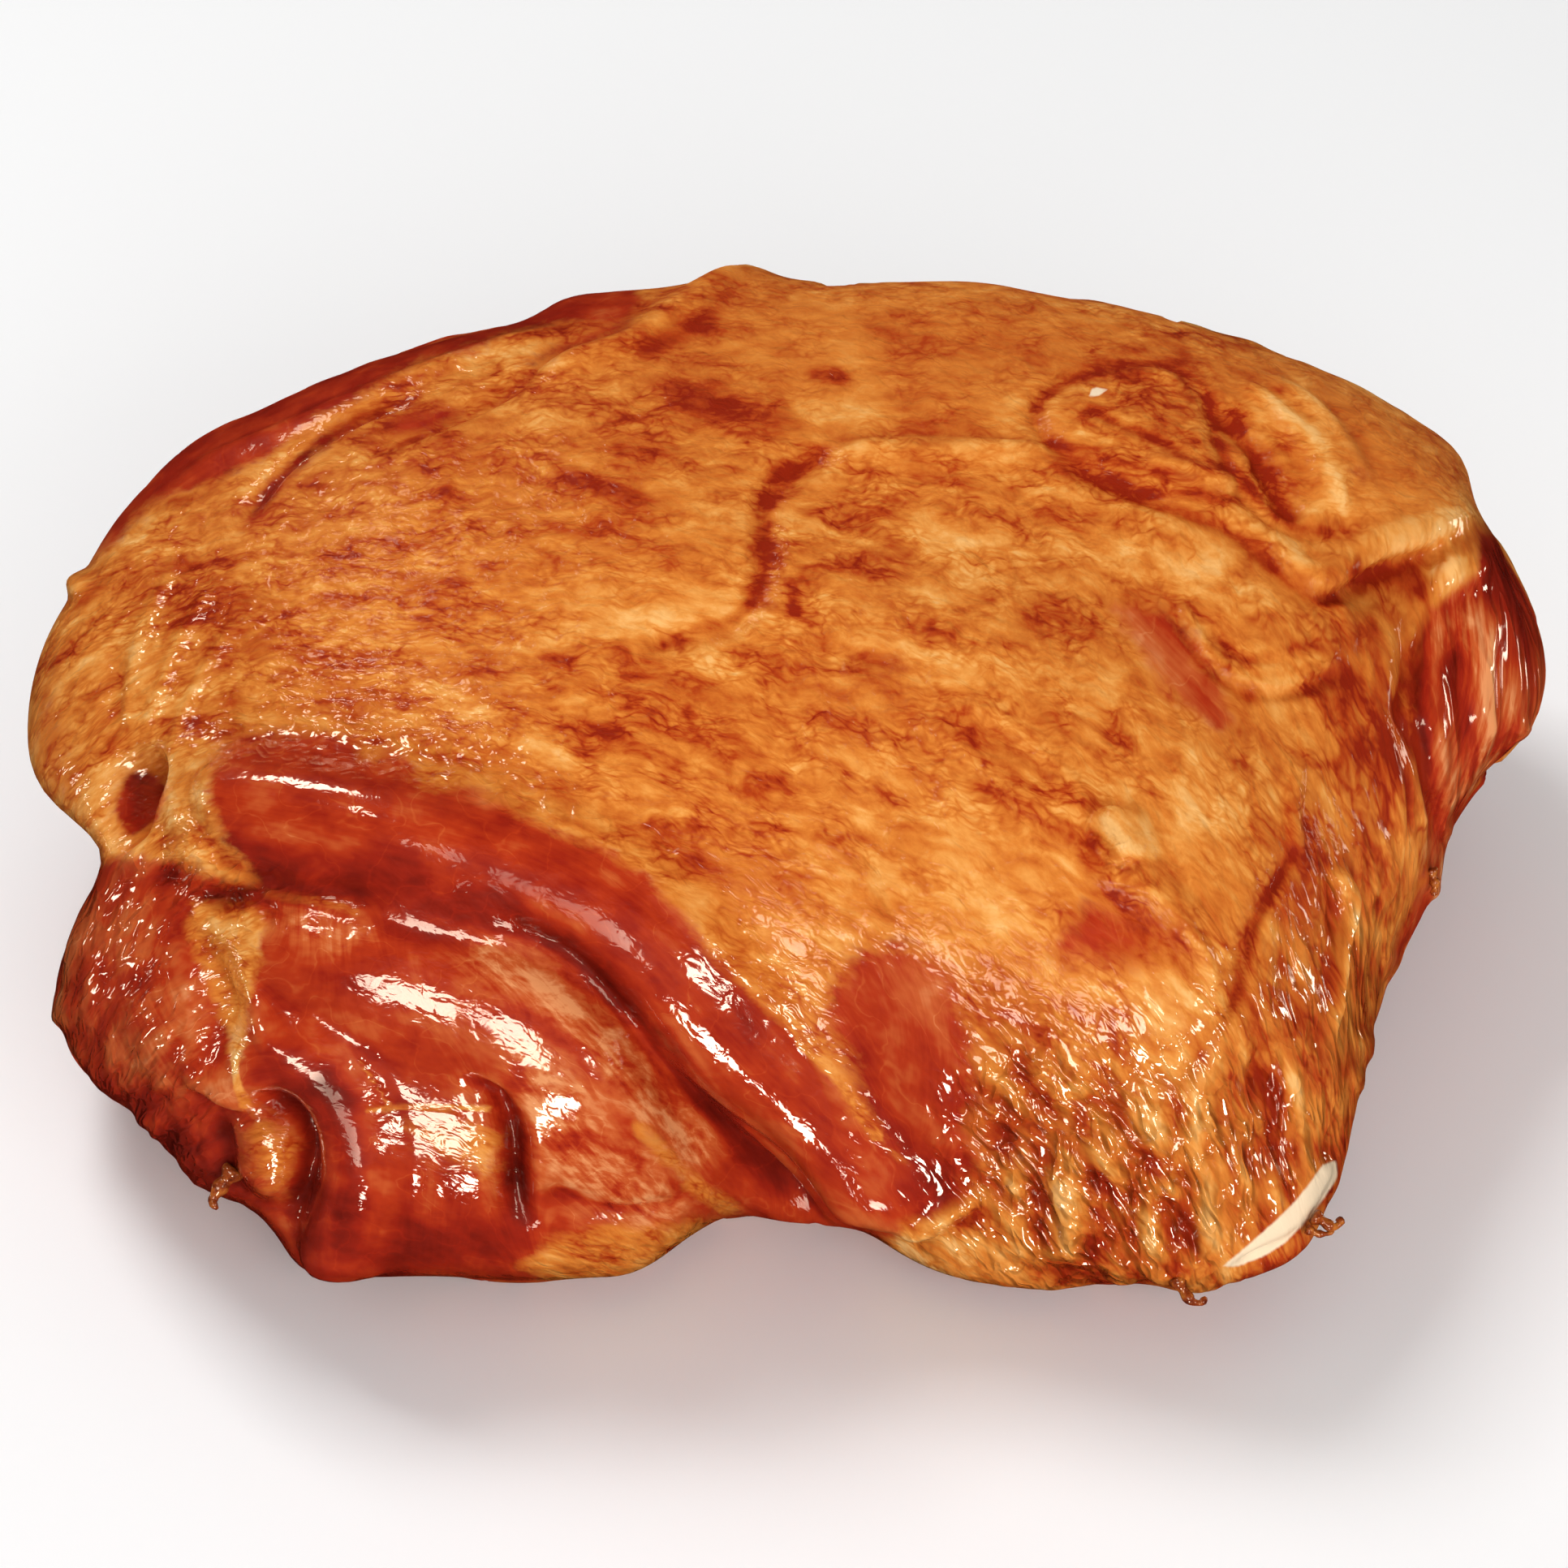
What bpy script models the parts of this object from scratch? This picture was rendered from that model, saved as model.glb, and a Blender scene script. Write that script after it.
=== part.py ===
"""A whole applewood smoked ham, skinned and lying on its flat underside.

The ham is one solid. A plain form, rounded in plan and crowned on top, is pushed level until it fills the
outline that the ham shows from above its front. Rolls, ridges, creases, lips and swells are then raised and
sunk along curves on its surface. Lengths are millimetres. The curves' points are pixels of the photograph,
right and down, and are set on the form by the viewpoint below.
"""

import math

import bpy
import numpy as np

MM = 0.001

# The plain form: its widest level, how far it rises above and falls below that, and how square its sections
# are.
CORE_HEIGHT = 46
CROWN = 97
KEEL = 62
SQUARENESS = 2.6

# The plan radius at the widest level, by azimuth in degrees anticlockwise from +X.
PLAN = (
    (0, 152), (15, 166), (30, 174), (48, 158), (68, 140), (90, 134), (115, 137), (135, 152), (150, 168),
    (165, 174), (180, 168), (210, 158), (225, 150), (248, 120), (270, 101), (290, 118), (308, 150),
    (338, 140),
)

# The viewpoint of the photograph: above the front, looking at a point over the middle of the ham.
VIEW_ELEVATION = math.radians(42)
VIEW_DISTANCE = 1100
VIEW_HEIGHT = 60
VIEW_MIDDLE = 966
VIEW_SCALE = 6024

# The outline from there, clockwise from the peak of the back.
OUTLINE = (
    (905, 325), (960, 341), (1040, 349), (1252, 352), (1360, 372), (1540, 422), (1700, 490), (1795, 555),
    (1815, 600), (1822, 632), (1846, 655), (1866, 705), (1890, 755), (1901, 805), (1899, 855), (1886, 905),
    (1850, 938), (1812, 992), (1790, 1030), (1782, 1075), (1765, 1104), (1722, 1190), (1702, 1240),
    (1688, 1310), (1672, 1380), (1660, 1440), (1636, 1490), (1600, 1545), (1480, 1596), (1400, 1588),
    (1240, 1591), (1110, 1550), (1063, 1522), (930, 1506), (880, 1512), (830, 1545), (780, 1570), (720, 1577),
    (560, 1578), (430, 1576), (380, 1568), (340, 1525), (290, 1482), (250, 1472), (197, 1410), (130, 1350),
    (92, 1306), (76, 1260), (70, 1206), (98, 1105), (126, 1066), (134, 1046), (122, 1036), (76, 1008),
    (46, 960), (36, 900), (42, 840), (66, 768), (96, 718), (116, 680), (152, 628), (204, 572), (258, 532),
    (320, 502), (480, 436), (635, 394), (700, 366), (770, 356), (830, 350), (870, 340),
)
OUTLINE_STEPS = 300

# How the outline is met, before and after the relief: how widely the push is evened out, in steps of bearing,
# and how fast it fades inwards.
BROAD_FITS = ((12, 4), (8, 4), (2, 30))
CLOSE_FITS = ((2, 30), (1, 50))

# The relief, by name: its kind, its height (sunk if negative), its reach to the left and to the right of the
# curve, and the curve. A swell is soft all round, a roll is full on its right, a rising roll is so only
# towards its end, a crease is sharp, and a lip stands up on its right.
RELIEF = {
    "left lobe": ("swell", 6, 60, 60, ((130, 1180), (170, 1270))),
    "left lobe knuckle": ("swell", 4, 20, 20, ((228, 1280), (238, 1300))),
    "left bulge": ("swell", 6, 48, 48, ((86, 800), (92, 930))),
    "front foot": ("swell", 4, 44, 44, ((430, 1530), (560, 1520))),
    "lobe in the hook": ("swell", 5, 14, 14, ((335, 1395), (338, 1435))),
    "lobe in the pleat": ("swell", 4, 26, 26, ((500, 1420), (575, 1425))),
    "middle muscle shoulder": ("swell", 5, 30, 30, ((375, 1165), (430, 1200))),
    "middle muscle crest": ("swell", 2.5, 28, 28, ((630, 1250), (700, 1300))),
    "roll's left end": ("swell", 3.5, 15, 15, ((315, 985), (430, 1004), (560, 1040))),
    "crown": ("swell", 3, 72, 72, ((520, 640), (760, 640))),
    "right shoulder": ("swell", 4, 44, 44, ((1690, 560), (1750, 600))),
    "right flap": ("swell", 5, 36, 36, ((1820, 760), (1850, 840))),
    "front belly": ("swell", 3, 60, 60, ((1180, 1180), (1240, 1330), (1330, 1420))),
    "oval lobe": ("swell", 2, 32, 32, ((1390, 525), (1450, 565))),
    "lower lobe": ("swell", 1.8, 24, 24, ((1530, 750), (1585, 785))),
    "fat bead": ("swell", 4, 9, 9, ((1382, 1022), (1392, 1054))),
    "web of fat": ("swell", 2, 16, 16, ((225, 930), (215, 990), (185, 1030))),
    "dip behind the middle": ("swell", -3, 48, 48, ((1010, 600), (1240, 640), (1420, 700))),
    "dip along the valley": ("swell", -2.5, 32, 32, ((640, 1140), (760, 1260), (930, 1450))),
    "dip at the valley's foot": ("swell", -3, 28, 28, ((850, 1410), (930, 1490))),
    "dip in the right flank": ("swell", -4, 20, 20, ((1590, 1390), (1560, 1350))),
    "dip under the lip": ("swell", -3, 24, 24, ((1690, 712), (1740, 728))),
    "pocket": ("swell", -18, 11, 11, ((177, 966), (168, 1004))),
    "front roll": ("rising roll", 9.5, 20, 11, ((290, 1000), (430, 1020), (640, 1074), (790, 1170),
                                                (905, 1302), (1060, 1458))),
    "middle muscle": ("ridge", 6.5, 20, 30, ((420, 1150), (560, 1200), (700, 1300), (800, 1400),
                                             (900, 1500))),
    "hook": ("roll", 8, 13, 8, ((300, 1318), (345, 1296), (396, 1320), (432, 1372), (438, 1440),
                                (418, 1530))),
    "edge over the hook": ("ridge", 2.5, 3, 5, ((303, 1190), (345, 1255), (392, 1293))),
    "beaded edge": ("ridge", 2.2, 5, 6, ((150, 1056), (260, 1066), (372, 1102))),
    "back left ridge": ("ridge", 2, 8, 8, ((200, 605), (400, 508), (700, 398))),
    "ridge from the peak": ("ridge", 3, 8, 10, ((905, 332), (822, 398), (690, 455), (630, 485))),
    "ridge in the hollow": ("ridge", 2.5, 4, 6, ((1556, 500), (1622, 572), (1650, 635))),
    "ridge right of the hollow": ("ridge", 3, 6, 9, ((1545, 455), (1635, 550), (1672, 640))),
    "arc over the patch": ("ridge", 2.5, 6, 8, ((1345, 1072), (1442, 1112), (1482, 1190))),
    "ridge across the back": ("ridge", 1.6, 5, 5, ((1000, 548), (1140, 556), (1290, 556))),
    "flank ridge": ("ridge", 3, 6, 6, ((1640, 1060), (1662, 1110), (1655, 1170), (1640, 1300))),
    "right flank ridge": ("ridge", 2.5, 5, 7, ((1700, 900), (1716, 1060), (1700, 1140))),
    "lump in the flank": ("ridge", 3, 5, 5, ((1596, 1300), (1618, 1400))),
    "fold at the foot": ("ridge", 3, 5, 6, ((1108, 1524), (1186, 1486), (1232, 1468))),
    "valley": ("crease", -7, 5, 10, ((590, 1128), (690, 1164), (760, 1232), (862, 1366), (970, 1486),
                                     (1030, 1516))),
    "under the roll's end": ("crease", -3.5, 4, 9, ((262, 1012), (288, 1060), (345, 1092), (430, 1100),
                                                    (530, 1108))),
    "pleat": ("crease", -9, 4, 7, ((560, 1312), (612, 1340), (634, 1388), (640, 1474), (656, 1508))),
    "foot crease": ("crease", -3.5, 6, 5, ((655, 1440), (740, 1490), (850, 1492))),
    "second valley": ("crease", -2.5, 5, 8, ((760, 1270), (810, 1340), (890, 1470))),
    "crease in the hook": ("crease", -6.5, 4, 7, ((300, 1350), (338, 1344), (370, 1368), (388, 1412),
                                                  (380, 1458), (350, 1512))),
    "seam of the left lobe": ("crease", -4.5, 8, 8, ((228, 1112), (282, 1240), (286, 1350))),
    "seam below": ("crease", -3, 6, 5, ((286, 1350), (284, 1420), (300, 1478))),
    "hollow under the beads": ("crease", -3, 6, 4, ((232, 1088), (272, 1108), (316, 1112))),
    "cleft of the left bulge": ("crease", -2.5, 5, 8, ((134, 1050), (158, 960), (160, 900))),
    "groove up the left bulge": ("crease", -1.5, 7, 7, ((160, 940), (156, 860), (152, 770))),
    "groove round the roll's end": ("crease", -2, 6, 6, ((250, 930), (248, 975), (300, 1070))),
    "back left groove": ("crease", -3, 5, 5, ((300, 650), (350, 578), (450, 510), (535, 482))),
    "edge of the fat cap": ("crease", -2.5, 6, 7, ((800, 405), (680, 442), (605, 495), (450, 578))),
    "middle groove": ("swell", -1.9, 5.5, 5.5, ((1010, 556), (950, 602), (941, 700), (905, 764), (815, 792))),
    "step in the middle": ("crease", -1.5, 3, 7, ((985, 788), (1050, 798), (1155, 832))),
    "step to the right": ("crease", -1.5, 6, 8, ((1160, 868), (1230, 905), (1350, 985))),
    "oval lobe edge": ("crease", -2, 4, 5, ((1350, 455), (1276, 500), (1315, 553), (1435, 608), (1520, 612),
                                            (1535, 592))),
    "hollow edge": ("crease", -2.5, 4, 5, ((1483, 470), (1502, 550), (1548, 622), (1620, 660), (1668, 640))),
    "hollow": ("swell", -3.5, 8, 8, ((1520, 520), (1556, 570), (1592, 620))),
    "groove to the lip": ("crease", -1.6, 6, 7, ((1290, 560), (1405, 604), (1520, 648), (1600, 722))),
    "groove under the rim": ("crease", -1.2, 4, 5, ((1560, 856), (1640, 838), (1690, 820))),
    "step by the front patch": ("crease", -2.2, 3, 7, ((980, 1046), (1070, 1080), (1112, 1136))),
    "flank crease": ("crease", -1.7, 4, 4, ((1596, 1040), (1548, 1142), (1530, 1205), (1515, 1270))),
    "lower flank crease": ("crease", -1.8, 4, 4, ((1490, 1270), (1465, 1320), (1448, 1342))),
    "crease before the flap": ("crease", -6, 7, 9, ((1758, 742), (1742, 845), (1748, 910), (1776, 1045))),
    "crease over the crescent": ("crease", -3, 5, 5, ((1500, 1566), (1560, 1550), (1650, 1450))),
    "crease under the fold": ("crease", -3, 5, 5, ((1104, 1536), (1196, 1498), (1240, 1478))),
    "right lip": ("lip", 6.5, 26, 26, ((1818, 632), (1786, 660), (1738, 680), (1692, 690), (1664, 714),
                                       (1622, 727), (1576, 684), (1530, 645))),
    "lip over the pleat": ("lip", 3.5, 14, 14, ((660, 1520), (645, 1470), (638, 1390), (610, 1336),
                                                (555, 1300))),
    "lower lobe rim": ("lip", 2.4, 13, 13, ((1652, 770), (1612, 820), (1562, 834), (1514, 820), (1478, 784),
                                            (1456, 748))),
    "tongue of fat": ("lip", 4.5, 15, 15, ((1824, 690), (1806, 718), (1778, 738), (1757, 746), (1744, 716))),
    "lip over the roll": ("lip", 2, 12, 12, ((1080, 1425), (1012, 1300), (905, 1200), (790, 1085),
                                             (715, 1035))),
}

# Lumps all over: height, size of a lump, seed.
LUMPS = ((1.1, 46, 3), (0.7, 20, 5))

# Grids, in cells along the length, the depth and the height.
REFERENCE_GRID = (150, 110, 90)
SOLID_GRID = (140, 104, 80)

# The solid is softened over a few passes, its faces are then made fewer where it is plain, and what lies
# this near its underside is set flat.
SOFTENING = 3
TRIANGLES = 11700
FLAT_WITHIN = 0.5

SMOKED_MEAT = (0.6, 0.15, 0.025, 1)
GLOSSY = 0.35


def box_sphere(nx, ny, nz):
    """Unit directions and quads of a sphere gridded like a box, with nx, ny and nz cells along its edges."""
    counts = (nx, ny, nz)
    index, corners, quads = {}, [], []
    for axis in range(3):
        a, b = (axis + 1) % 3, (axis + 2) % 3
        for side in (0, counts[axis]):
            for i in range(counts[a]):
                for j in range(counts[b]):
                    ring = [(i, j), (i + 1, j), (i + 1, j + 1), (i, j + 1)]
                    quad = []
                    for p, q in ring if side else ring[::-1]:
                        at = [0, 0, 0]
                        at[axis], at[a], at[b] = side, p, q
                        at = tuple(at)
                        if at not in index:
                            index[at] = len(corners)
                            corners.append(at)
                        quad.append(index[at])
                    quads.append(quad)
    points = np.tan((np.array(corners, float) / counts * 2 - 1) * math.pi / 4)
    return points / np.linalg.norm(points, axis=1)[:, None], np.array(quads)


def spread(directions):
    """Directions pulled towards the plan, so that cells come out even on a low, wide body."""
    wide = directions * (0.165, 0.12, 0.09)
    return wide / np.linalg.norm(wide, axis=1)[:, None]


def around(table, angle):
    """A smooth closed curve through (degrees, value) pairs, read at angle in radians."""
    at = np.radians([row[0] for row in table])
    value = np.array([row[1] for row in table], float)
    turn = 2 * math.pi
    angle = np.mod(angle - at[0], turn) + at[0]
    k = np.clip(np.searchsorted(at, angle, side="right") - 1, 0, len(table) - 1)
    after = (k + 1) % len(table)
    span = np.mod(at[after] - at[k], turn)
    t = (angle - at[k]) / span
    slope = (np.roll(value, -1) - np.roll(value, 1)) / np.mod(np.roll(at, -1) - np.roll(at, 1), turn)
    here = (1 + 2 * t) * (1 - t) ** 2 * value[k] + t * (1 - t) ** 2 * span * slope[k]
    return here + t * t * (3 - 2 * t) * value[after] + t * t * (t - 1) * span * slope[after]


def ease(t):
    t = np.clip(t, 0, 1)
    return t * t * (3 - 2 * t)


def seen(points):
    """Pixels (right, down) and depth of points from the photograph's viewpoint."""
    s, c = math.sin(VIEW_ELEVATION), math.cos(VIEW_ELEVATION)
    x, y, z = points[:, 0], points[:, 1], points[:, 2] - VIEW_HEIGHT
    depth = VIEW_DISTANCE + y * c - z * s
    scale = VIEW_SCALE / depth
    return np.stack([VIEW_MIDDLE + x * scale, VIEW_MIDDLE - (y * s + z * c) * scale], 1), depth


def polar(pixels):
    off = (pixels - VIEW_MIDDLE) * (1, -1)
    return np.arctan2(off[:, 1], off[:, 0]), np.hypot(off[:, 0], off[:, 1])


def plain_form(directions):
    azimuth = np.arctan2(directions[:, 1], directions[:, 0])
    level = np.hypot(directions[:, 0], directions[:, 1])
    rise = directions[:, 2]
    tall = np.where(rise > 0, CROWN, KEEL)
    power = SQUARENESS
    reach = ((level / around(PLAN, azimuth)) ** power + (np.abs(rise) / tall) ** power) ** (-1 / power)
    return directions * reach[:, None] + (0, 0, CORE_HEIGHT)


def bearings():
    return (np.arange(OUTLINE_STEPS) + 0.5) / OUTLINE_STEPS * 2 * math.pi - math.pi


def evened(values, width):
    """A closed row of values, each a bell-shaped mean over its neighbours."""
    off = np.arange(-3 * width, 3 * width + 1)
    bell = np.exp(-0.5 * (off / width) ** 2)
    return sum(np.roll(values, k) * b for k, b in zip(off, bell)) / bell.sum()


def outline_gain(points, width):
    """A body's outline around the view's middle, by bearing, and how much further out the wanted one is."""
    bearing, radius = polar(seen(points)[0])
    slot = ((bearing + math.pi) / (2 * math.pi) * OUTLINE_STEPS).astype(int) % OUTLINE_STEPS
    reach = np.zeros(OUTLINE_STEPS)
    np.maximum.at(reach, slot, radius)
    reach = evened(reach, 2)
    bearing, radius = polar(np.array(OUTLINE, float))
    order = np.argsort(bearing)
    wanted = around(list(zip(np.degrees(bearing[order]), radius[order])), bearings())
    return reach, evened(wanted / reach, width)


def push(points, reach, gain, hold):
    """Points moved level, so that the outline seen grows by the gain and what lies inside it hardly moves."""
    pixels, depth = seen(points)
    bearing, radius = polar(pixels)
    share = np.clip(radius / np.interp(bearing, bearings(), reach, period=2 * math.pi), 0, 1) ** hold
    growth = np.interp(bearing, bearings(), gain, period=2 * math.pi) - 1
    move = radius * growth * share * depth / VIEW_SCALE
    out = points.copy()
    out[:, 0] += move * np.cos(bearing)
    out[:, 1] += move * np.sin(bearing) / math.sin(VIEW_ELEVATION)
    return out


def vertex_normals(points, quads):
    a, b, c, d = (points[quads[:, k]] for k in range(4))
    face = np.cross(c - a, d - b)
    out = np.zeros_like(points)
    for k in range(4):
        np.add.at(out, quads[:, k], face)
    return out / np.maximum(np.linalg.norm(out, axis=1), 1e-12)[:, None]


def smooth_line(points, step=4.0):
    """Points every step or so along a smooth curve through the given ones."""
    ends = np.vstack([2 * points[0] - points[1], points, 2 * points[-1] - points[-2]])
    line = []
    for p0, p1, p2, p3 in zip(ends, ends[1:], ends[2:], ends[3:]):
        count = max(1, int(np.linalg.norm(p2 - p1) / step))
        for t in np.arange(count) / count:
            line.append(0.5 * (2 * p1 + (p2 - p0) * t + (2 * p0 - 5 * p1 + 4 * p2 - p3) * t**2
                               + (3 * p1 - p0 - 3 * p2 + p3) * t**3))
    return np.array(line + [points[-1]])


class Form:
    """The plain form at its fitted outline, the pushes that follow the relief, and what pixels fall on."""

    def __init__(self):
        directions, quads = box_sphere(*REFERENCE_GRID)
        points = plain_form(spread(directions))
        self.broad = []
        for width, hold in BROAD_FITS:
            self.broad.append((*outline_gain(points, width), hold))
            points = push(points, *self.broad[-1])
        normals = vertex_normals(points, quads)
        sight = np.array((0, -math.cos(VIEW_ELEVATION), math.sin(VIEW_ELEVATION)))
        self.facing = points[normals @ sight > 0.02]
        self.pixels = seen(self.facing)[0]
        points = points + normals * rise_of(self, points, normals)[:, None]
        self.close = []
        for width, hold in CLOSE_FITS:
            self.close.append((*outline_gain(points, width), hold))
            points = push(points, *self.close[-1])

    def at(self, directions):
        points = plain_form(spread(directions))
        for step in self.broad:
            points = push(points, *step)
        return points

    def under(self, pixels):
        """The points of the form that these pixels show, as means of the reference grid's nearest points."""
        found = []
        for pixel in np.array(pixels, float):
            gap = np.hypot(*(self.pixels - pixel).T)
            near = np.argpartition(gap, 6)[:6]
            weight = 1 / (gap[near] + 1) ** 2
            found.append((self.facing[near] * weight[:, None]).sum(0) / weight.sum())
        return np.array(found)


class Stroke:
    """The points near a line: how far off they lie, as a share of its reach, and a taper to its ends."""

    def __init__(self, line, left, right, points, normals):
        reach = max(left, right)
        low, high = line.min(0) - reach, line.max(0) + reach
        self.index = np.nonzero(((points > low) & (points < high)).all(1))[0]
        p, n = points[self.index], normals[self.index]
        legs = np.linalg.norm(np.diff(line, axis=0), axis=1)
        before = np.concatenate([[0], np.cumsum(legs)])
        distance = np.full(len(p), np.inf)
        self.side = np.zeros(len(p))
        along = np.zeros(len(p))
        for a, b, leg, start in zip(line, line[1:], legs, before):
            way = (b - a) / leg
            t = np.clip((p - a) @ way, 0, leg)
            off = p - a - t[:, None] * way
            gap = np.linalg.norm(off, axis=1)
            closer = gap < distance
            distance[closer] = gap[closer]
            along[closer] = (start + t)[closer]
            self.side[closer] = np.einsum("ij,ij->i", np.cross(way, n), off)[closer]
        self.right = ease(0.5 + self.side / (0.6 * reach))
        self.share = distance / (left + (right - left) * self.right)
        self.taper = ease(np.minimum(along, before[-1] - along) / min(2 * reach, before[-1] / 2))
        self.passed = ease(along / before[-1])


def swell(stroke):
    return np.clip(1 - stroke.share**2, 0, 1) ** 3


def roll(stroke):
    return np.clip(1 - stroke.share**2, 0, 1) ** (1.7 - stroke.right)


def rising_roll(stroke):
    slack = 1 + 0.8 * stroke.right * (1 - stroke.passed)
    return np.clip(1 - (stroke.share / slack) ** 2, 0, 1) ** (1.7 - stroke.right * stroke.passed)


def ridge(stroke):
    return stroke.taper * np.clip(1 - stroke.share**2, 0, 1) ** 2


def crease(stroke):
    return stroke.taper * np.clip(1 - stroke.share, 0, 1) ** 1.6


def lip(stroke):
    return stroke.taper * ease(0.5 + stroke.side / 4) * np.clip(1 - stroke.share, 0, 1) ** 1.5


PROFILES = {
    "swell": swell, "roll": roll, "rising roll": rising_roll, "ridge": ridge, "crease": crease, "lip": lip,
}


def lumps(points, size, seed):
    """Smooth random heights between about -1 and 1, with lumps of the given size."""
    lattice = np.random.RandomState(seed).uniform(-1, 1, (32, 32, 32))
    at = points / size
    cell = np.floor(at).astype(int)
    t = ease(at - cell)
    total = np.zeros(len(points))
    for corner in np.ndindex(2, 2, 2):
        weight = np.prod(np.where(corner, t, 1 - t), axis=1)
        total += weight * lattice[tuple(np.mod(cell + corner, 32).T)]
    return total


def rise_of(form, points, normals):
    """How far each point moves out along its normal."""
    rise = sum(height * lumps(points, size, seed) for height, size, seed in LUMPS)
    for kind, height, left, right, curve in RELIEF.values():
        stroke = Stroke(smooth_line(form.under(curve)), left, right, points, normals)
        rise[stroke.index] += height * PROFILES[kind](stroke)
    return rise


def shape(form, grid):
    """The finished surface as points and quads, with the middle of its box over the origin."""
    directions, quads = box_sphere(*grid)
    points = form.at(directions)
    normals = vertex_normals(points, quads)
    points = points + normals * rise_of(form, points, normals)[:, None]
    for step in form.close:
        points = push(points, *step)
    points[:, 2] = np.maximum(points[:, 2], 0)
    middle = (points.min(0) + points.max(0)) / 2
    return points - (middle[0], middle[1], 0), quads


def smoked_meat():
    material = bpy.data.materials.new("smoked_meat")
    material.use_nodes = True
    shader = material.node_tree.nodes["Principled BSDF"]
    shader.inputs["Base Color"].default_value = SMOKED_MEAT
    shader.inputs["Roughness"].default_value = GLOSSY
    shader.inputs["Metallic"].default_value = 0
    return material


def settled(thing):
    """The object's mesh with its modifiers applied and its underside exactly flat."""
    mesh = bpy.data.meshes.new_from_object(thing.evaluated_get(bpy.context.evaluated_depsgraph_get()))
    for vertex in mesh.vertices:
        if vertex.co.z < FLAT_WITHIN * MM:
            vertex.co.z = 0
    return mesh


def main():
    for thing in list(bpy.data.objects):
        bpy.data.objects.remove(thing)
    points, quads = shape(Form(), SOLID_GRID)
    mesh = bpy.data.meshes.new("ham")
    mesh.from_pydata((points * MM).tolist(), [], quads.tolist())
    mesh.materials.append(smoked_meat())
    mesh.shade_smooth()
    ham = bpy.data.objects.new("ham", mesh)
    bpy.context.scene.collection.objects.link(ham)
    softer = ham.modifiers.new("softer steps", "SMOOTH")
    softer.factor = 0.5
    softer.iterations = SOFTENING
    fewer = ham.modifiers.new("fewer faces", "DECIMATE")
    fewer.ratio = TRIANGLES / (2 * len(quads))
    ham.data = settled(ham)
    ham.modifiers.clear()


if __name__ == "__main__":
    main()
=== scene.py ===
"""The looks of the whole smoked ham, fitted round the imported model.

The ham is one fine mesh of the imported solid's form, with finer folds on it. Its fat, lean meat, stains and
wet places are painted on as vertex values along curves and outlines, and one material made of nodes reads
them. A curve or an outline is written as its points, x,y each, in pixels of the photograph. Lengths on the
ham are in millimetres.
"""

import math

import bpy
import numpy as np
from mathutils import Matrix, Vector


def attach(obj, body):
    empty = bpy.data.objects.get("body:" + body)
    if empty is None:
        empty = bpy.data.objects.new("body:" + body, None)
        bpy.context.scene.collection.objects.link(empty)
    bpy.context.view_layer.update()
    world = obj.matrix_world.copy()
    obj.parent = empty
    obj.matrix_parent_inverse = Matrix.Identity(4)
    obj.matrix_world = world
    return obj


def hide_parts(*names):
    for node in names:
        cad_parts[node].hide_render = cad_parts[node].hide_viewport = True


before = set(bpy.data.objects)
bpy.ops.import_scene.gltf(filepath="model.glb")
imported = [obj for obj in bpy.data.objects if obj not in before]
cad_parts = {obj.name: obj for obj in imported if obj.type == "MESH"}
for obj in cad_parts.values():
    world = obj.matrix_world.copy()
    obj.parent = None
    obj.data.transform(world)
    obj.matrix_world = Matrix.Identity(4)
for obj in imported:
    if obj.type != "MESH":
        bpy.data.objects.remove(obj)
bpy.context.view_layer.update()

MM = 0.001
TINY = 1e-12

# The plain form: its widest level, how far it rises above and falls below that, and how square its
# sections are.
CORE_HEIGHT = 46
CROWN = 97
KEEL = 62
SQUARENESS = 2.6

# The plan radius at the widest level, by azimuth in degrees anticlockwise from +X.
PLAN = (
    (0, 152), (15, 166), (30, 174), (48, 158), (68, 140), (90, 134), (115, 137), (135, 152), (150, 168),
    (165, 174), (180, 168), (210, 158), (225, 150), (248, 120), (270, 101), (290, 118), (308, 150),
    (338, 140),
)

# How far directions are pulled towards the plan, so that the mesh's cells come out even on a low, wide body.
SPREAD = (0.165, 0.12, 0.09)

# The viewpoint of the photograph: above the front, looking at a point over the middle of the ham, where a
# pixel covers so many millimetres.
VIEW_ELEVATION = math.radians(42)
SINE = math.sin(VIEW_ELEVATION)
COSINE = math.cos(VIEW_ELEVATION)
VIEW_DISTANCE = 1100
VIEW_HEIGHT = 60
VIEW_MIDDLE = 966
VIEW_SCALE = 6024
PIXEL = VIEW_DISTANCE / VIEW_SCALE
SENSOR_WIDTH = 36
CLIPPED = (0.05, 20)

# The outline from there, clockwise from the peak of the back.
OUTLINE = """
    905,325 960,341 1040,349 1252,352 1360,372 1540,422 1700,490 1795,555 1815,600 1822,632 1846,655
    1866,705 1890,755 1901,805 1899,855 1886,905 1850,938 1812,992 1790,1030 1782,1075 1765,1104 1722,1190
    1702,1240 1688,1310 1672,1380 1660,1440 1636,1490 1600,1545 1480,1596 1400,1588 1240,1591 1110,1550
    1063,1522 930,1506 880,1512 830,1545 780,1570 720,1577 560,1578 430,1576 380,1568 340,1525 290,1482
    250,1472 197,1410 130,1350 92,1306 76,1260 70,1206 98,1105 126,1066 134,1046 122,1036 76,1008 46,960
    36,900 42,840 66,768 96,718 116,680 152,628 204,572 258,532 320,502 480,436 635,394 700,366 770,356
    830,350 870,340
"""
OUTLINE_STEPS = 300

# How the outline is met, before and after the relief: how widely the push is evened out, in steps of bearing,
# and how fast it fades inwards.
BROAD_FITS = ((12, 4), (8, 4), (2, 30))
CLOSE_FITS = ((2, 30), (1, 50))

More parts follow.
